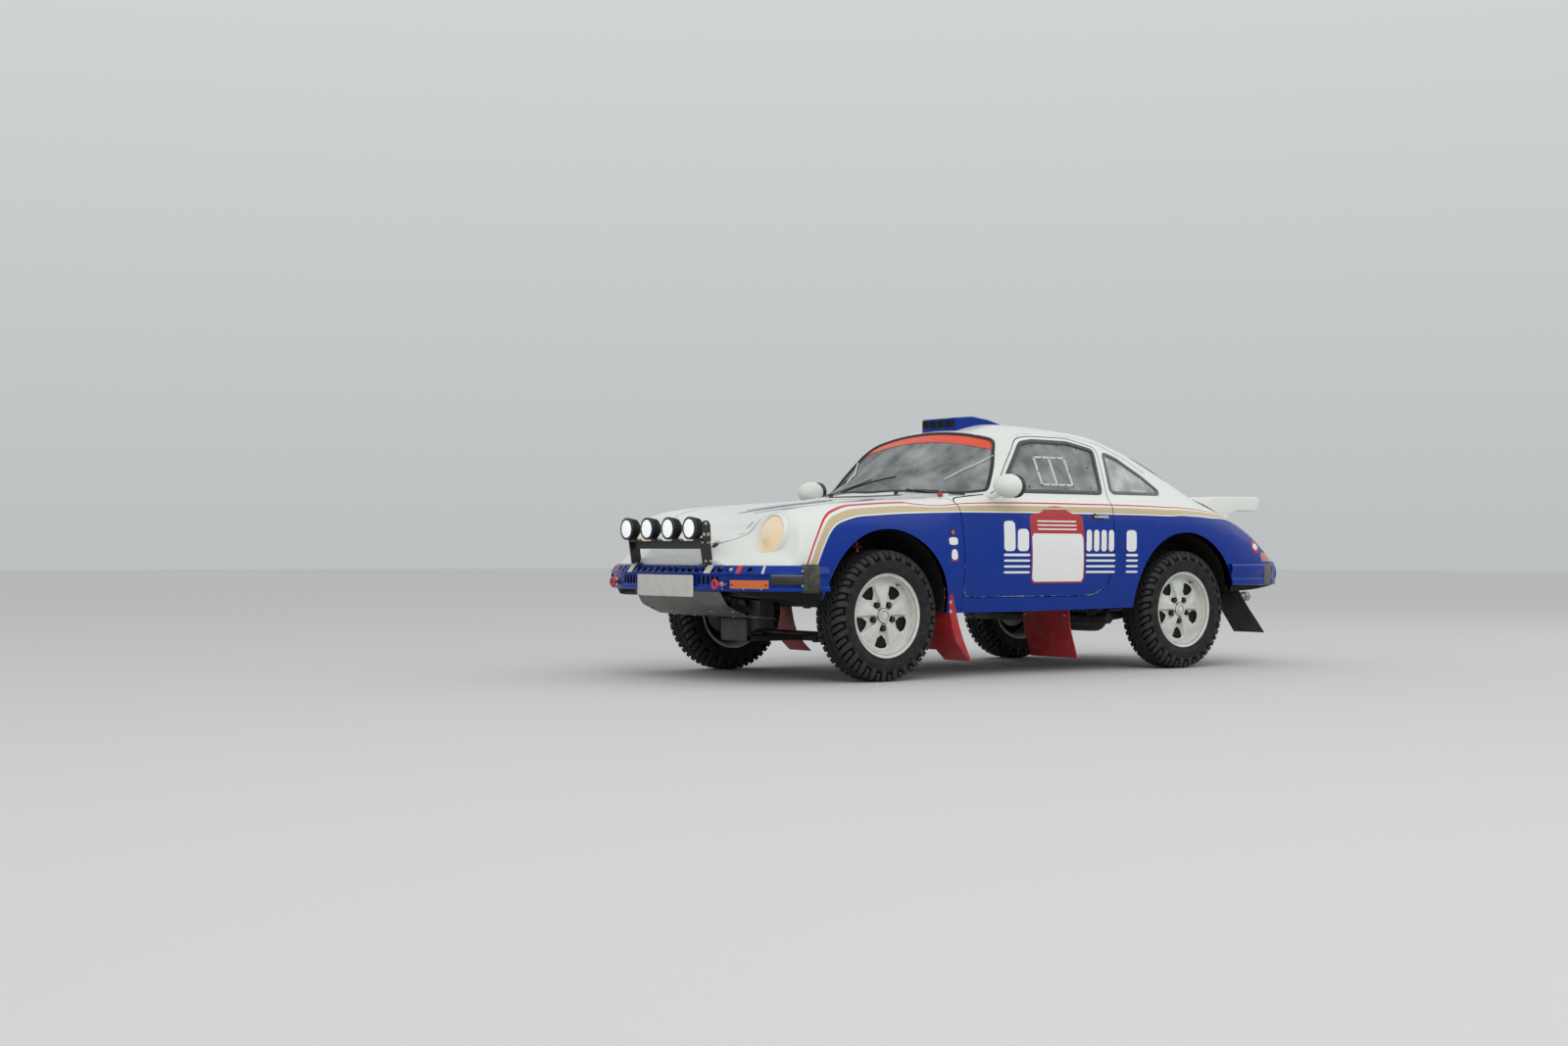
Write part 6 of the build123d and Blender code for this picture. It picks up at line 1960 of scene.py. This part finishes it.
def dress_trim():
    """Blank board and plain marks on the sides, repeaters, lid pins, cowl, wipers and sun strip."""
    for side, sign in SIDES:
        board = Shape()
        white = softened([(1008, 172), (1008, 438), (1402, 438), (1402, 172)], 5)
        red = softened([(999, 163), (999, 542), (1060, 548), (1096, 556), (1118, 574), (1160, 588),
                        (1205, 591), (1250, 588), (1290, 574), (1312, 556), (1348, 548), (1411, 542),
                        (1411, 163)], 6)
        label(board, red, sign, 0.8, 1)
        label(board, white, sign, 1.5, 0)
        for k in range(3):
            z = 458 + k * 22
            label(board, softened(rectangle(1050, 1360, z, z + 8), 2), sign, 1.5, 0)
        for start, end, blocks in ((790, 990, 2), (1420, 1655, 4)):
            side_bars(board, start, end, sign)
            width = (end - start) / blocks
            for k in range(blocks):
                p = start + k * width
                tall = 505 if start == 790 and k == 0 else 462
                block = [(p + 4, 340), (p + width - 12, 340), (p + width - 4, tall), (p + 14, tall)]
                label(board, softened(block, 22), sign, 1.0, 0)
        build(board, f"door_{side}_board", ["sticker_white", "sticker_red"], f"door_{side}",
              replaces=[f"door_{side}"], slot="paint_livery")
        small = Shape()
        label(small, softened([(396, 372), (396, 412), (458, 412), (458, 372)], 4), sign, 1.0, 0, 6)
        label(small, softened([(406, 300), (410, 340), (430, 352), (450, 340), (454, 300), (430, 288)], 8),
              sign, 1.0, 0, 8)
        label(small, [(398, 282), (462, 288), (462, 296), (398, 290)], sign, 1.2, 1, 4)
        spot, height = REAR_AXLE + 645, 372
        ring = [(spot + 44 * cos(a), height + 40 * sin(a)) for a in circle(32)]
        label(small, ring, sign, 1.0, 1)
        inner_ring = [(spot + (a - spot) * 0.68, height + (b - height) * 0.48) for a, b in ring]
        label(small, inner_ring, sign, 1.8, 0)
        side_bars(small, 1740, 1840, sign)
        label(small, softened([(1744, 340), (1826, 340), (1834, 462), (1754, 462)], 22), sign, 1.0, 0)
        # Side repeater
        z = 438.0
        base = side_y(424, z)
        small.solid([(-3, 17), (3, 17), (5, 15)], (424, sign * base, z), (0, sign, 0), 4, 3)
        small.solid([(3, 14), (9, 13), (11, 10)], (424, sign * (base - 0.5), z), (0, sign, 0), 4, 2)
        build(small, f"side_marks_{side}", ["sticker_white", "sticker_red", "amber", "dark"], "root",
              replaces=["front_fenders"], slot="paint_livery")
    top = Shape()
    for y in (-270, 270):
        z = deck(-742, y)
        bolt(top, (-742, y, z - 2), (-0.5, 0, 0.9), 15, 0, 5)
        top.tube([(-748, y - 22, z + 2), (-740, y, z + 12), (-732, y + 24, z + 14)], 2.2, 1, 8, smooth=1)
    build(top, "lid_pins", ["trim", "steel"], "front_lid", replaces=["front_lid"], slot="paint_white")
    cowl = Shape()
    rings = []
    for y in np.linspace(-330, 330, 23):
        p = 452 + 0.00006 * y * y
        rings.append([(p, y, deck(p, y) + 1.0), (p + 26, y, deck(p + 26, y) + 1.0),
                      (p + 26, y, deck(p + 26, y) - 3), (p, y, deck(p, y) - 3)])
    cowl.loft(rings, 0)
    # Battery switch and a blank tag beside the screen
    base = deck(505, 640)
    cowl.box((488, 522), (628, 664), (base - 6, base + 16), 1)
    cowl.solid([(0, 11), (16, 11), (20, 8)], (482, 646, base + 8), (-1, 0, 0.1), 16, 2)
    cowl.box((470, 478), (640, 652), (base + 14, base + 26), 2)
    for y in (-330, 250):
        cowl.solid([(-12, 12), (10, 12), (16, 9)], (500, y, deck(500, y)), (-0.1, 0, 1), 20, 0)
        start = np.array((503.0, y, deck(503, y) + 12))
        elbow = np.array((560.0, y + 130, deck(560, y + 130) + 20))
        tip = np.array((606.0, y + 240, deck(606, y + 240) + 16))
        cowl.tube([start, elbow, tip], 3.4, 0, 10, smooth=2)
        blade = []
        for t in np.linspace(0, 1, 12):
            yy = y + 20 + 400 * t
            place = 560 + 62 * t + 40 * max(0, t - 0.7)
            blade.append((place, yy, deck(place, yy) + 9))
        cowl.tube(blade, 3.6, 0, 8)
        cowl.tube([(a - 2, b, c - 5) for a, b, c in blade], 1.6, 0, 6)
    build(cowl, "wiper_and_cowl_parts", ["trim", "white", "tow"], "root", replaces=["wipers"],
          slot="black_plastic", soft=40)
    strip = Patch(*both_halves(*skin.take("screen")), "screen")
    up = (SCREEN_HEAD - SCREEN_FOOT).normalized()
    strip.cut(lambda q: 498 - 0.00003 * q[:, 1] ** 2 - (q - np.array(SCREEN_FOOT)) @ np.array(up), "screen",
              "strip")
    table, faces = strip.take("strip")
    table[:, POS] -= table[:, NRM] * 3.6
    panel("sun_strip", table, faces, 1.5, "root", ["orange"] * 3, replaces=["windshield"],
          slot="window_glass")


def boxed_sine(a):
    """A sine drawn out towards a box's sides."""
    return np.sign(sin(a)) * abs(sin(a)) ** 0.5


def cushion(name, outline_rings, body, fill, **settings):
    """A padded seat part, smoothed by subdivision."""
    shape = Shape()
    shape.loft(outline_rings, 0)
    piece = build(shape, name, ["cloth"], body, soft=0, **settings)
    smooth = piece.modifiers.new("smooth", "SUBSURF")
    smooth.levels = 1
    smooth.render_levels = 1


# Place of the cage's main hoop
HOOP = 1700


def dress_cabin():
    """Seats, harness, dashboard, steering wheel and roll cage."""
    for side, sign in SIDES:
        middle = sign * 350.0
        seat = Shape()
        # The shell: a bucket swept up the back, its edges turned forward
        spine = [(1045, 110, 168), (1120, 102, 196), (1260, 98, 206), (1390, 100, 208), (1470, 150, 208),
                 (1510, 260, 206), (1540, 400, 204), (1568, 560, 206), (1590, 680, 176), (1606, 770, 130),
                 (1616, 798, 100)]
        rings = []
        for place, z, wide in softened(spine, 40, closed=False, steps=2):
            share = min(max((z - 105) / 120, 0), 1)

            def lifted(t):
                return 88 * max(0.0, abs(t) - 0.62) / 0.38 * (1.0 if z < 640 else 0.4)

            ring = [(place - share * lifted(t), middle + wide * t, z + (1 - share) * lifted(t))
                    for t in np.linspace(-1, 1, 15)]
            ring += [(place - share * lifted(t) + 10 * share, middle + (wide + 5) * t,
                      z + (1 - share) * lifted(t) - 8 * (1 - share)) for t in np.linspace(1, -1, 15)]
            rings.append(ring)
        seat.loft(rings, 0)
        for y in (-160, 160):
            seat.box((1080, 1460), (middle + y - 18, middle + y + 18), (48, 62), 1)
            seat.prism(softened([(1100, 60), (1440, 60), (1420, 112), (1130, 112)], 10), middle + y - 3,
                       middle + y + 3, "y", 1)
        for y in (-70, 70):
            path = [(1240, middle + y * 0.5, 205), (1430, middle + y * 0.9, 255), (1478, middle + y, 420),
                    (1530, middle + y, 640), (1580, middle + y * 0.8, 720), (1700, middle + y * 0.8, 560)]
            seat.loft([[(a, b - 22, c), (a, b + 22, c), (a + 3, b + 22, c + 2), (a + 3, b - 22, c + 2)]
                       for a, b, c in softened(path, 60, closed=False)], 2)
        seat.box((1216, 1262), (middle - 26, middle + 26), (206, 220), 3)
        build(seat, f"seat_shell_{side}", ["shell", "dark", "belt", "steel"], "root", replaces=["seats"],
              slot="seat_cloth", soft=50)
        rings = []
        for place, low, high, wide in ((1048, 140, 205, 120), (1062, 128, 232, 138), (1150, 116, 228, 146),
                                       (1280, 110, 205, 146), (1390, 112, 212, 140), (1425, 125, 225, 126)):
            rings.append([(place, middle + wide * cos(a) * (1 - 0.08 * sin(a) ** 2),
                           (low + high) / 2 + (high - low) / 2 * boxed_sine(a))
                          for a in circle(24)])
        cushion(f"seat_cushion_{side}", rings, "root", 0.7, replaces=["seats"], slot="seat_cloth")
        rings = []
        for z, front, back, wide in ((205, 1400, 1462, 116), (225, 1392, 1478, 132), (360, 1424, 1508, 140),
                                     (520, 1462, 1540, 142), (640, 1494, 1566, 128), (740, 1528, 1586, 92),
                                     (775, 1542, 1588, 72)):
            rings.append([((front + back) / 2 + (back - front) / 2 * boxed_sine(a),
                           middle + wide * cos(a), z) for a in circle(24)])
        cushion(f"seat_back_{side}", rings, "root", 0.7, replaces=["seats"], slot="seat_cloth")

    dash = Shape()
    outline = softened([(462, 425), (462, 604), (560, 602), (650, 578), (688, 556), (697, 500), (625, 424)],
                       14)
    dash.prism(outline, -578, 578, "y", 0)
    dash.box((560, 700), (230, 470), (566, 600), 0)
    for k in range(5):
        y = 254 + k * 48.0
        dash.lathe([(0, 22), (4, 23), (5, 19), (1, 18)], (699, y, 545), (1, 0, 0.2), 28, 1)
        dash.solid([(0, 19), (1, 18)], (699, y, 545), (1, 0, 0.2), 28, 2)
    for k in range(8):
        dash.solid([(0, 6), (8, 6), (12, 4)], (696, -60 - k * 34.0, 516), (1, 0, 0), 10, 1)
    dash.box((694, 704), (-540, -360), (470, 560), 3)
    build(dash, "dashboard_top", ["trim", "steel", "liner", "inner"], "root", replaces=["dashboard"],
          slot="black_plastic", bevel=2)

    wheel = Shape()
    centre = Vector((930, 350, 550))
    column_tilt = radians(18)
    axis = Vector((cos(column_tilt), 0, sin(column_tilt)))
    _, axis, side_dir, up = turn_frame(centre, axis)
    wheel.lathe([(15 * cos(a), 178 + 14 * sin(a)) for a in circle(14)], centre, axis, 64, 0)
    wheel.solid([(-60, 30), (-20, 34), (-10, 34), (-6, 30), (-4, 12)], centre, axis, 32, 1)
    wheel.rod(centre - axis * 340, centre - axis * 40, 15, 2)
    for k in range(3):
        a = 2 * pi * k / 3 + pi / 2
        out = side_dir * cos(a) + up * sin(a)
        across = axis.cross(out)
        rings = []
        for r, w, drop in ((24, 20, 24), (60, 15, 18), (110, 12, 8), (172, 15, 2)):
            at = centre + out * r - axis * drop
            rings.append([at + across * w + axis * 2.5, at - across * w + axis * 2.5,
                          at - across * w - axis * 2.5, at + across * w - axis * 2.5])
        wheel.loft(rings, 2)
    for k in range(6):
        a = 2 * pi * k / 6
        wheel.solid([(0, 4), (3, 3)], centre - axis * 6 + (side_dir * cos(a) + up * sin(a)) * 26, axis, 8, 3)
    build(wheel, "steering_wheel_rim", ["rubber", "trim", "dark", "steel"], "steering_wheel",
          replaces=["steering_wheel"], slot="black_plastic", soft=40)

    cage = Shape()
    low, top = 46.0, 935
    cage.tube([(HOOP, 600, low), (HOOP, 600, 640), (HOOP, 480, top), (HOOP, -480, top), (HOOP, -600, 640),
               (HOOP, -600, low)], 19.5, 0, 16, smooth=2)
    cage.tube([(HOOP, 590, 300), (HOOP, -590, 300)], 19, 0, 16)
    cage.tube([(1010, 470, 900), (1010, -470, 900)], 19, 0, 16)
    cage.tube([(1710, 470, 900), (2170, -500, 480)], 16, 0, 14)
    for sign in (1, -1):
        pillar = [(590, sign * 640, low), (600, sign * 620, 560), (1010, sign * 470, 900),
                  (HOOP, sign * 480, top)]
        cage.tube(pillar, 19.5, 0, 16, smooth=2)
        cage.tube([(HOOP, sign * 480, top), (2180, sign * 545, 470)], 19, 0, 16)
        cage.tube([(598, sign * 628, 330), (HOOP, sign * 600, 250)], 19, 0, 16)
        for place in (590, HOOP):
            y = sign * (640 if place < 1000 else 600)
            cage.box((place - 42, place + 42), (y - 36, y + 36), (38, 44), 1)
            for dp in (-30, 30):
                for dy in (-26, 26):
                    bolt(cage, (place + dp, y + dy, 44), (0, 0, 1), 5, 2, 5)
    # A shelf behind the seats
    cage.box((1900, 2290), (-420, 420), (240, 256), 3)
    build(cage, "cage_tubes", ["cage", "dark", "steel", "inner"], "root", replaces=["roll_cage"],
          slot="cage_paint", soft=50)


def finned(shape, places, ys, zs, count, mark, proud):
    """A cast block with cooling ribs round it."""
    (a, b), (c, d), (e, f) = places, ys, zs
    shape.box((a + proud, b - proud), (c + proud, d - proud), (e + proud, f - proud), mark)
    for k in range(count):
        at = a + (b - a) * (k + 0.3) / count
        shape.box((at, at + (b - a) / count * 0.4), (c, d), (e, f), mark)


# Lean of the front kingpins
KINGPIN_TILT = radians(14)


def dress_running_gear():
    """Engine, exhaust, arms and struts."""
    gear = Shape()
    finned(gear, (REAR_AXLE + 90, REAR_AXLE + 560), (-330, 330), (-58, 60), 18, 0, 9)
    gear.prism(softened(behind([(80, 40), (80, 150), (200, 205), (520, 205), (600, 130), (600, 40)]), 30),
               -190, 190, "y", 0)
    gear.solid([(0, 30), (4, 120), (60, 124), (64, 118), (64, 30)], (REAR_AXLE + 590, 0, 120), (1, 0, 0), 48,
               1)
    for k in range(9):
        a = 2 * pi * k / 9
        p = Vector((REAR_AXLE + 656, 30 * cos(a), 120 + 30 * sin(a)))
        q = Vector((REAR_AXLE + 656, 112 * cos(a + 0.3), 120 + 112 * sin(a + 0.3)))
        gear.rod(p, q, 6, 1, 6)
    gear.solid([(0, 20), (2, 62), (14, 62), (16, 55), (24, 62), (30, 62), (32, 20)],
               (REAR_AXLE + 656, 0, -10), (1, 0, 0), 40, 1)
    for sign in (1, -1):
        for k in range(3):
            place = REAR_AXLE + 190 + k * 120
            gear.tube([(place, sign * 120, 190), (place, sign * 180, 226), (place, sign * 270, 120),
                       (place, sign * 290, 50)], 19, 0, 12, smooth=2)
            gear.tube([(place, sign * 250, -50), (place + 20, sign * 255, -52),
                       (REAR_AXLE + 560, sign * 200, -40)],
                      17, 2, 10, smooth=1)
        gear.side_prism(softened(behind(rectangle(100, 560, 62, 84)), 6), sign, 200, 326, 1)
    finned(gear, (1935, REAR_AXLE + 70), (-118, 118), (-86, 15), 11, 0, 8)
    gear.solid([(0, 60), (20, 100), (320, 116), (392, 118)], (1940, 0, -35), (1, 0, 0), 24, 0)
    gear.box((REAR_AXLE + 600, REAR_AXLE + 686), (-260, 260), (-50, -20), 1)
    build(gear, "engine_castings", ["engine", "dark", "exhaust"], "root", replaces=["engine_block"],
          slot="engine_metal", soft=40)

    pipes = Shape()
    pipes.solid([(-300, 40), (-298, 66), (-288, 78), (-270, 80), (-262, 77), (262, 77), (270, 80), (288, 78),
                 (298, 66), (300, 40)], (REAR_AXLE + 790, 0, 25), (0, 1, 0), 48, 0)
    for y in (-180, 180):
        pipes.lathe([(-14, 77), (-14, 82), (14, 82), (14, 77)], (REAR_AXLE + 790, y, 25), (0, 1, 0), 40, 1)
    for sign in (1, -1):
        pipes.tube(behind([(690, sign * 40, -10), (740, sign * 42, -4), (776, sign * 44, 10)]), 28, 0, 16,
                   smooth=1)
    pipes.tube(behind([(790, 250, 20), (812, 340, 44), (830, 420, 60), (900, 420, 60), (960, 420, 60)]), 27,
               0, 24, smooth=2)
    pipes.lathe([(0, 27), (0, 30), (38, 30), (40, 28.5), (38, 26), (6, 25)], (REAR_AXLE + 950, 420, 60),
                (1, 0, 0), 32, 0)
    build(pipes, "exhaust_pipes", ["exhaust", "dark"], "root", replaces=["exhaust"], slot="exhaust_steel",
          soft=45)

    front = Shape()
    front.prism(softened([(-60, -150), (-60, -102), (40, -102), (40, -150)], 10), -318, 318, "y", 0)
    for sign in (1, -1):
        front.side_prism(softened([(-46, -104), (-34, 96), (18, 96), (28, -104)], 8), sign, 246, 296)
        for z in (-70, -20, 30):
            bolt(front, (-5, sign * 296, z), (0, sign, 0), 9, 1, 4)
        outline = [(-108, sign * 282), (108, sign * 282), (60, sign * 440), (19, sign * 652),
                   (-19, sign * 652), (-60, sign * 440)]
        front.prism(outline, -146, -128, "z", 0)
        front.rod((-112, sign * 292, -137), (112, sign * 292, -137), 17, 2)
        front.solid([(-12, 17), (10, 22), (14, 14)], (0, sign * 636, -140), (0, sign * -0.24, 0.97), 24, 2)
        front.tube([(-90, sign * 180, -124), (-90, sign * 420, -112), (-60, sign * 520, -122)], 10, 2, 10,
                   smooth=2)
    front.prism(softened([(-428, -148), (-60, -148), (-60, -122), (-428, -120)], 6), -118, 118, "y", 0)
    front.prism(softened([(-430, -140), (-402, -140), (-402, -26), (-430, -26)], 6), -118, 118, "y", 0)
    build(front, "front_arms", ["dark", "steel", "rubber"], "root", replaces=["front_suspension"],
          slot="running_steel")

    rear = Shape()
    rear.rod((1830, -598, -50), (1830, 598, -50), 31, 0, 32)
    for sign in (1, -1):
        rear.side_prism(softened([(1802, -48), (1858, -48), (1850, 54), (1810, 54)], 8), sign, 446, 514)
        rear.tube([(1830, sign * 536, -50), (2100, sign * 540, -20), (REAR_AXLE, sign * 540, 0)], 23, 0, 18,
                  smooth=1)
        rear.solid([(525, 44), (530, 50), (600, 49), (640, 42), (672, 40)], (REAR_AXLE, 0, 0), (0, sign, 0),
                   32, 0)
        rear.rod((REAR_AXLE, sign * 640, 0), (REAR_AXLE, sign * 738, 0), 21.5, 1, 24)
        start = Vector((REAR_AXLE - 40, sign * 122, -10))
        end = Vector((REAR_AXLE, sign * 528, 0))
        rear.rod(start, end, 14, 1, 20)
        boot = [(-26, 18), (-24, 30), (-16, 24), (-8, 30), (0, 24), (8, 30), (16, 24), (24, 30), (26, 18)]
        for share in (0.14, 0.84):
            at = start.lerp(end, share)
            rear.solid(boot, at, end - start, 24, 2)
        rear.solid([(-8, 30), (0, 34), (8, 30)], (1830, sign * 536, -50), (0, 1, 0), 24, 2)
    build(rear, "rear_arms", ["dark", "steel", "rubber"], "root", replaces=["rear_suspension"],
          slot="running_steel", soft=45)
    for side, sign in SIDES:
        strut = Shape()

        def kingpin(z):
            return Vector((0, sign * (605 - tan(KINGPIN_TILT) * z), z))

        along = kingpin(400) - kingpin(0)
        strut.rod(kingpin(-122), kingpin(-55), 14, 1, 20)
        strut.rod(kingpin(-58), kingpin(255), 24, 0, 28)
        strut.lathe([(0, 24), (0, 27), (8, 27), (8, 24)], kingpin(200), along, 28, 0)
        strut.rod(kingpin(255), kingpin(392), 12, 1, 20)
        coil = []
        length = (kingpin(385) - kingpin(262)).length
        unit, first, second = along.normalized(), *turn_frame(kingpin(0), along)[2:]
        for k in range(84):
            a = 2 * pi * 3.5 * k / 83
            round_it = (first * cos(a) + second * sin(a)) * 24
            coil.append(kingpin(264) + unit * (length * k / 83 * 0.94) + round_it)
        strut.tube(coil, 5.5, 2, 8)
        hub = [(585, 34), (590, 40), (650, 40), (668, 38)]
        strut.solid(hub, (0, 0, 0), (0, sign, 0), 32, 0)
        strut.rod((0, sign * 660, 0), (0, sign * 733, 0), 21.5, 1, 24)
        outline = softened([(4, -28), (4, 28), (118, 20), (128, 0), (118, -20)], 8)
        strut.side_prism(outline, sign, 614, 638)
        build(strut, f"strut_{side}", ["dark", "steel", "tow"], f"knuckle_{side}",
              replaces=[f"knuckle_{side}"], slot="running_steel", soft=45)


dress_structure()
dress_seals()
dress_doors()
dress_tail()
dress_trim()
dress_cabin()
dress_running_gear()


# Camera, light and floor

CAMERA_PLACE = Vector((AXLE_X + 6.8575, 8.9214, 0.6767))
CAMERA_AIM = Vector((-0.604144, -0.796749, 0.014176))
CAMERA_RIGHT = Vector((-0.796800, 0.604235, 0.002976))
FOCAL_PIXELS, PHOTO_WIDTH = 2080.0, 1600.0


def set_camera():
    """The camera solved from the photo."""
    data = bpy.data.cameras.new("camera")
    data.sensor_width = 36.0
    data.lens = FOCAL_PIXELS / PHOTO_WIDTH * data.sensor_width
    data.clip_end = 200.0
    camera = bpy.data.objects.new("camera", data)
    bpy.context.scene.collection.objects.link(camera)
    up = CAMERA_RIGHT.cross(CAMERA_AIM)
    turn = Matrix((CAMERA_RIGHT, up, -CAMERA_AIM)).transposed().to_4x4()
    camera.matrix_world = Matrix.Translation(CAMERA_PLACE) @ turn
    bpy.context.scene.camera = camera


def set_floor():
    """A pale ground plane."""
    mesh = bpy.data.meshes.new("floor")
    half = 60.0
    mesh.from_pydata([(-half, -half, 0), (half, -half, 0), (half, half, 0), (-half, half, 0)], [],
                     [(0, 1, 2, 3)])
    n = Nodes("floor_pale")
    n.set(Base_Color=rgb(0.62, 0.62, 0.61), Roughness=0.9)
    mesh.materials.append(n.material)
    floor = bpy.data.objects.new("floor", mesh)
    bpy.context.scene.collection.objects.link(floor)


def set_light():
    """An even sky with a broad key and a fill."""
    world = bpy.data.worlds.new("sky")
    bpy.context.scene.world = world
    world.use_nodes = True
    tree = world.node_tree
    back = tree.nodes["Background"]
    where = tree.nodes.new("ShaderNodeTexCoord")
    split = tree.nodes.new("ShaderNodeSeparateXYZ")
    ramp = tree.nodes.new("ShaderNodeValToRGB")
    tree.links.new(where.outputs["Generated"], split.inputs[0])
    tree.links.new(split.outputs["Z"], ramp.inputs["Fac"])
    tree.links.new(ramp.outputs["Color"], back.inputs["Color"])
    ramp.color_ramp.elements[0].position = 0.0
    ramp.color_ramp.elements[0].color = rgb(0.60, 0.62, 0.62)
    ramp.color_ramp.elements[1].position = 0.45
    ramp.color_ramp.elements[1].color = rgb(0.86, 0.88, 0.90)
    back.inputs["Strength"].default_value = 0.85
    for name, place, size, power in (("key", (6, 9, 9), 8, 420), ("fill", (-8, 4, 7), 9, 160)):
        data = bpy.data.lights.new(name, "AREA")
        data.size = size
        data.energy = power
        lamp = bpy.data.objects.new(name, data)
        lamp.location = place
        lamp.rotation_euler = (Vector((0, 0, 0.6)) - Vector(place)).to_track_quat("-Z", "Y").to_euler()
        bpy.context.scene.collection.objects.link(lamp)


set_camera()
set_floor()
set_light()
bpy.context.scene.view_settings.view_transform = "Standard"
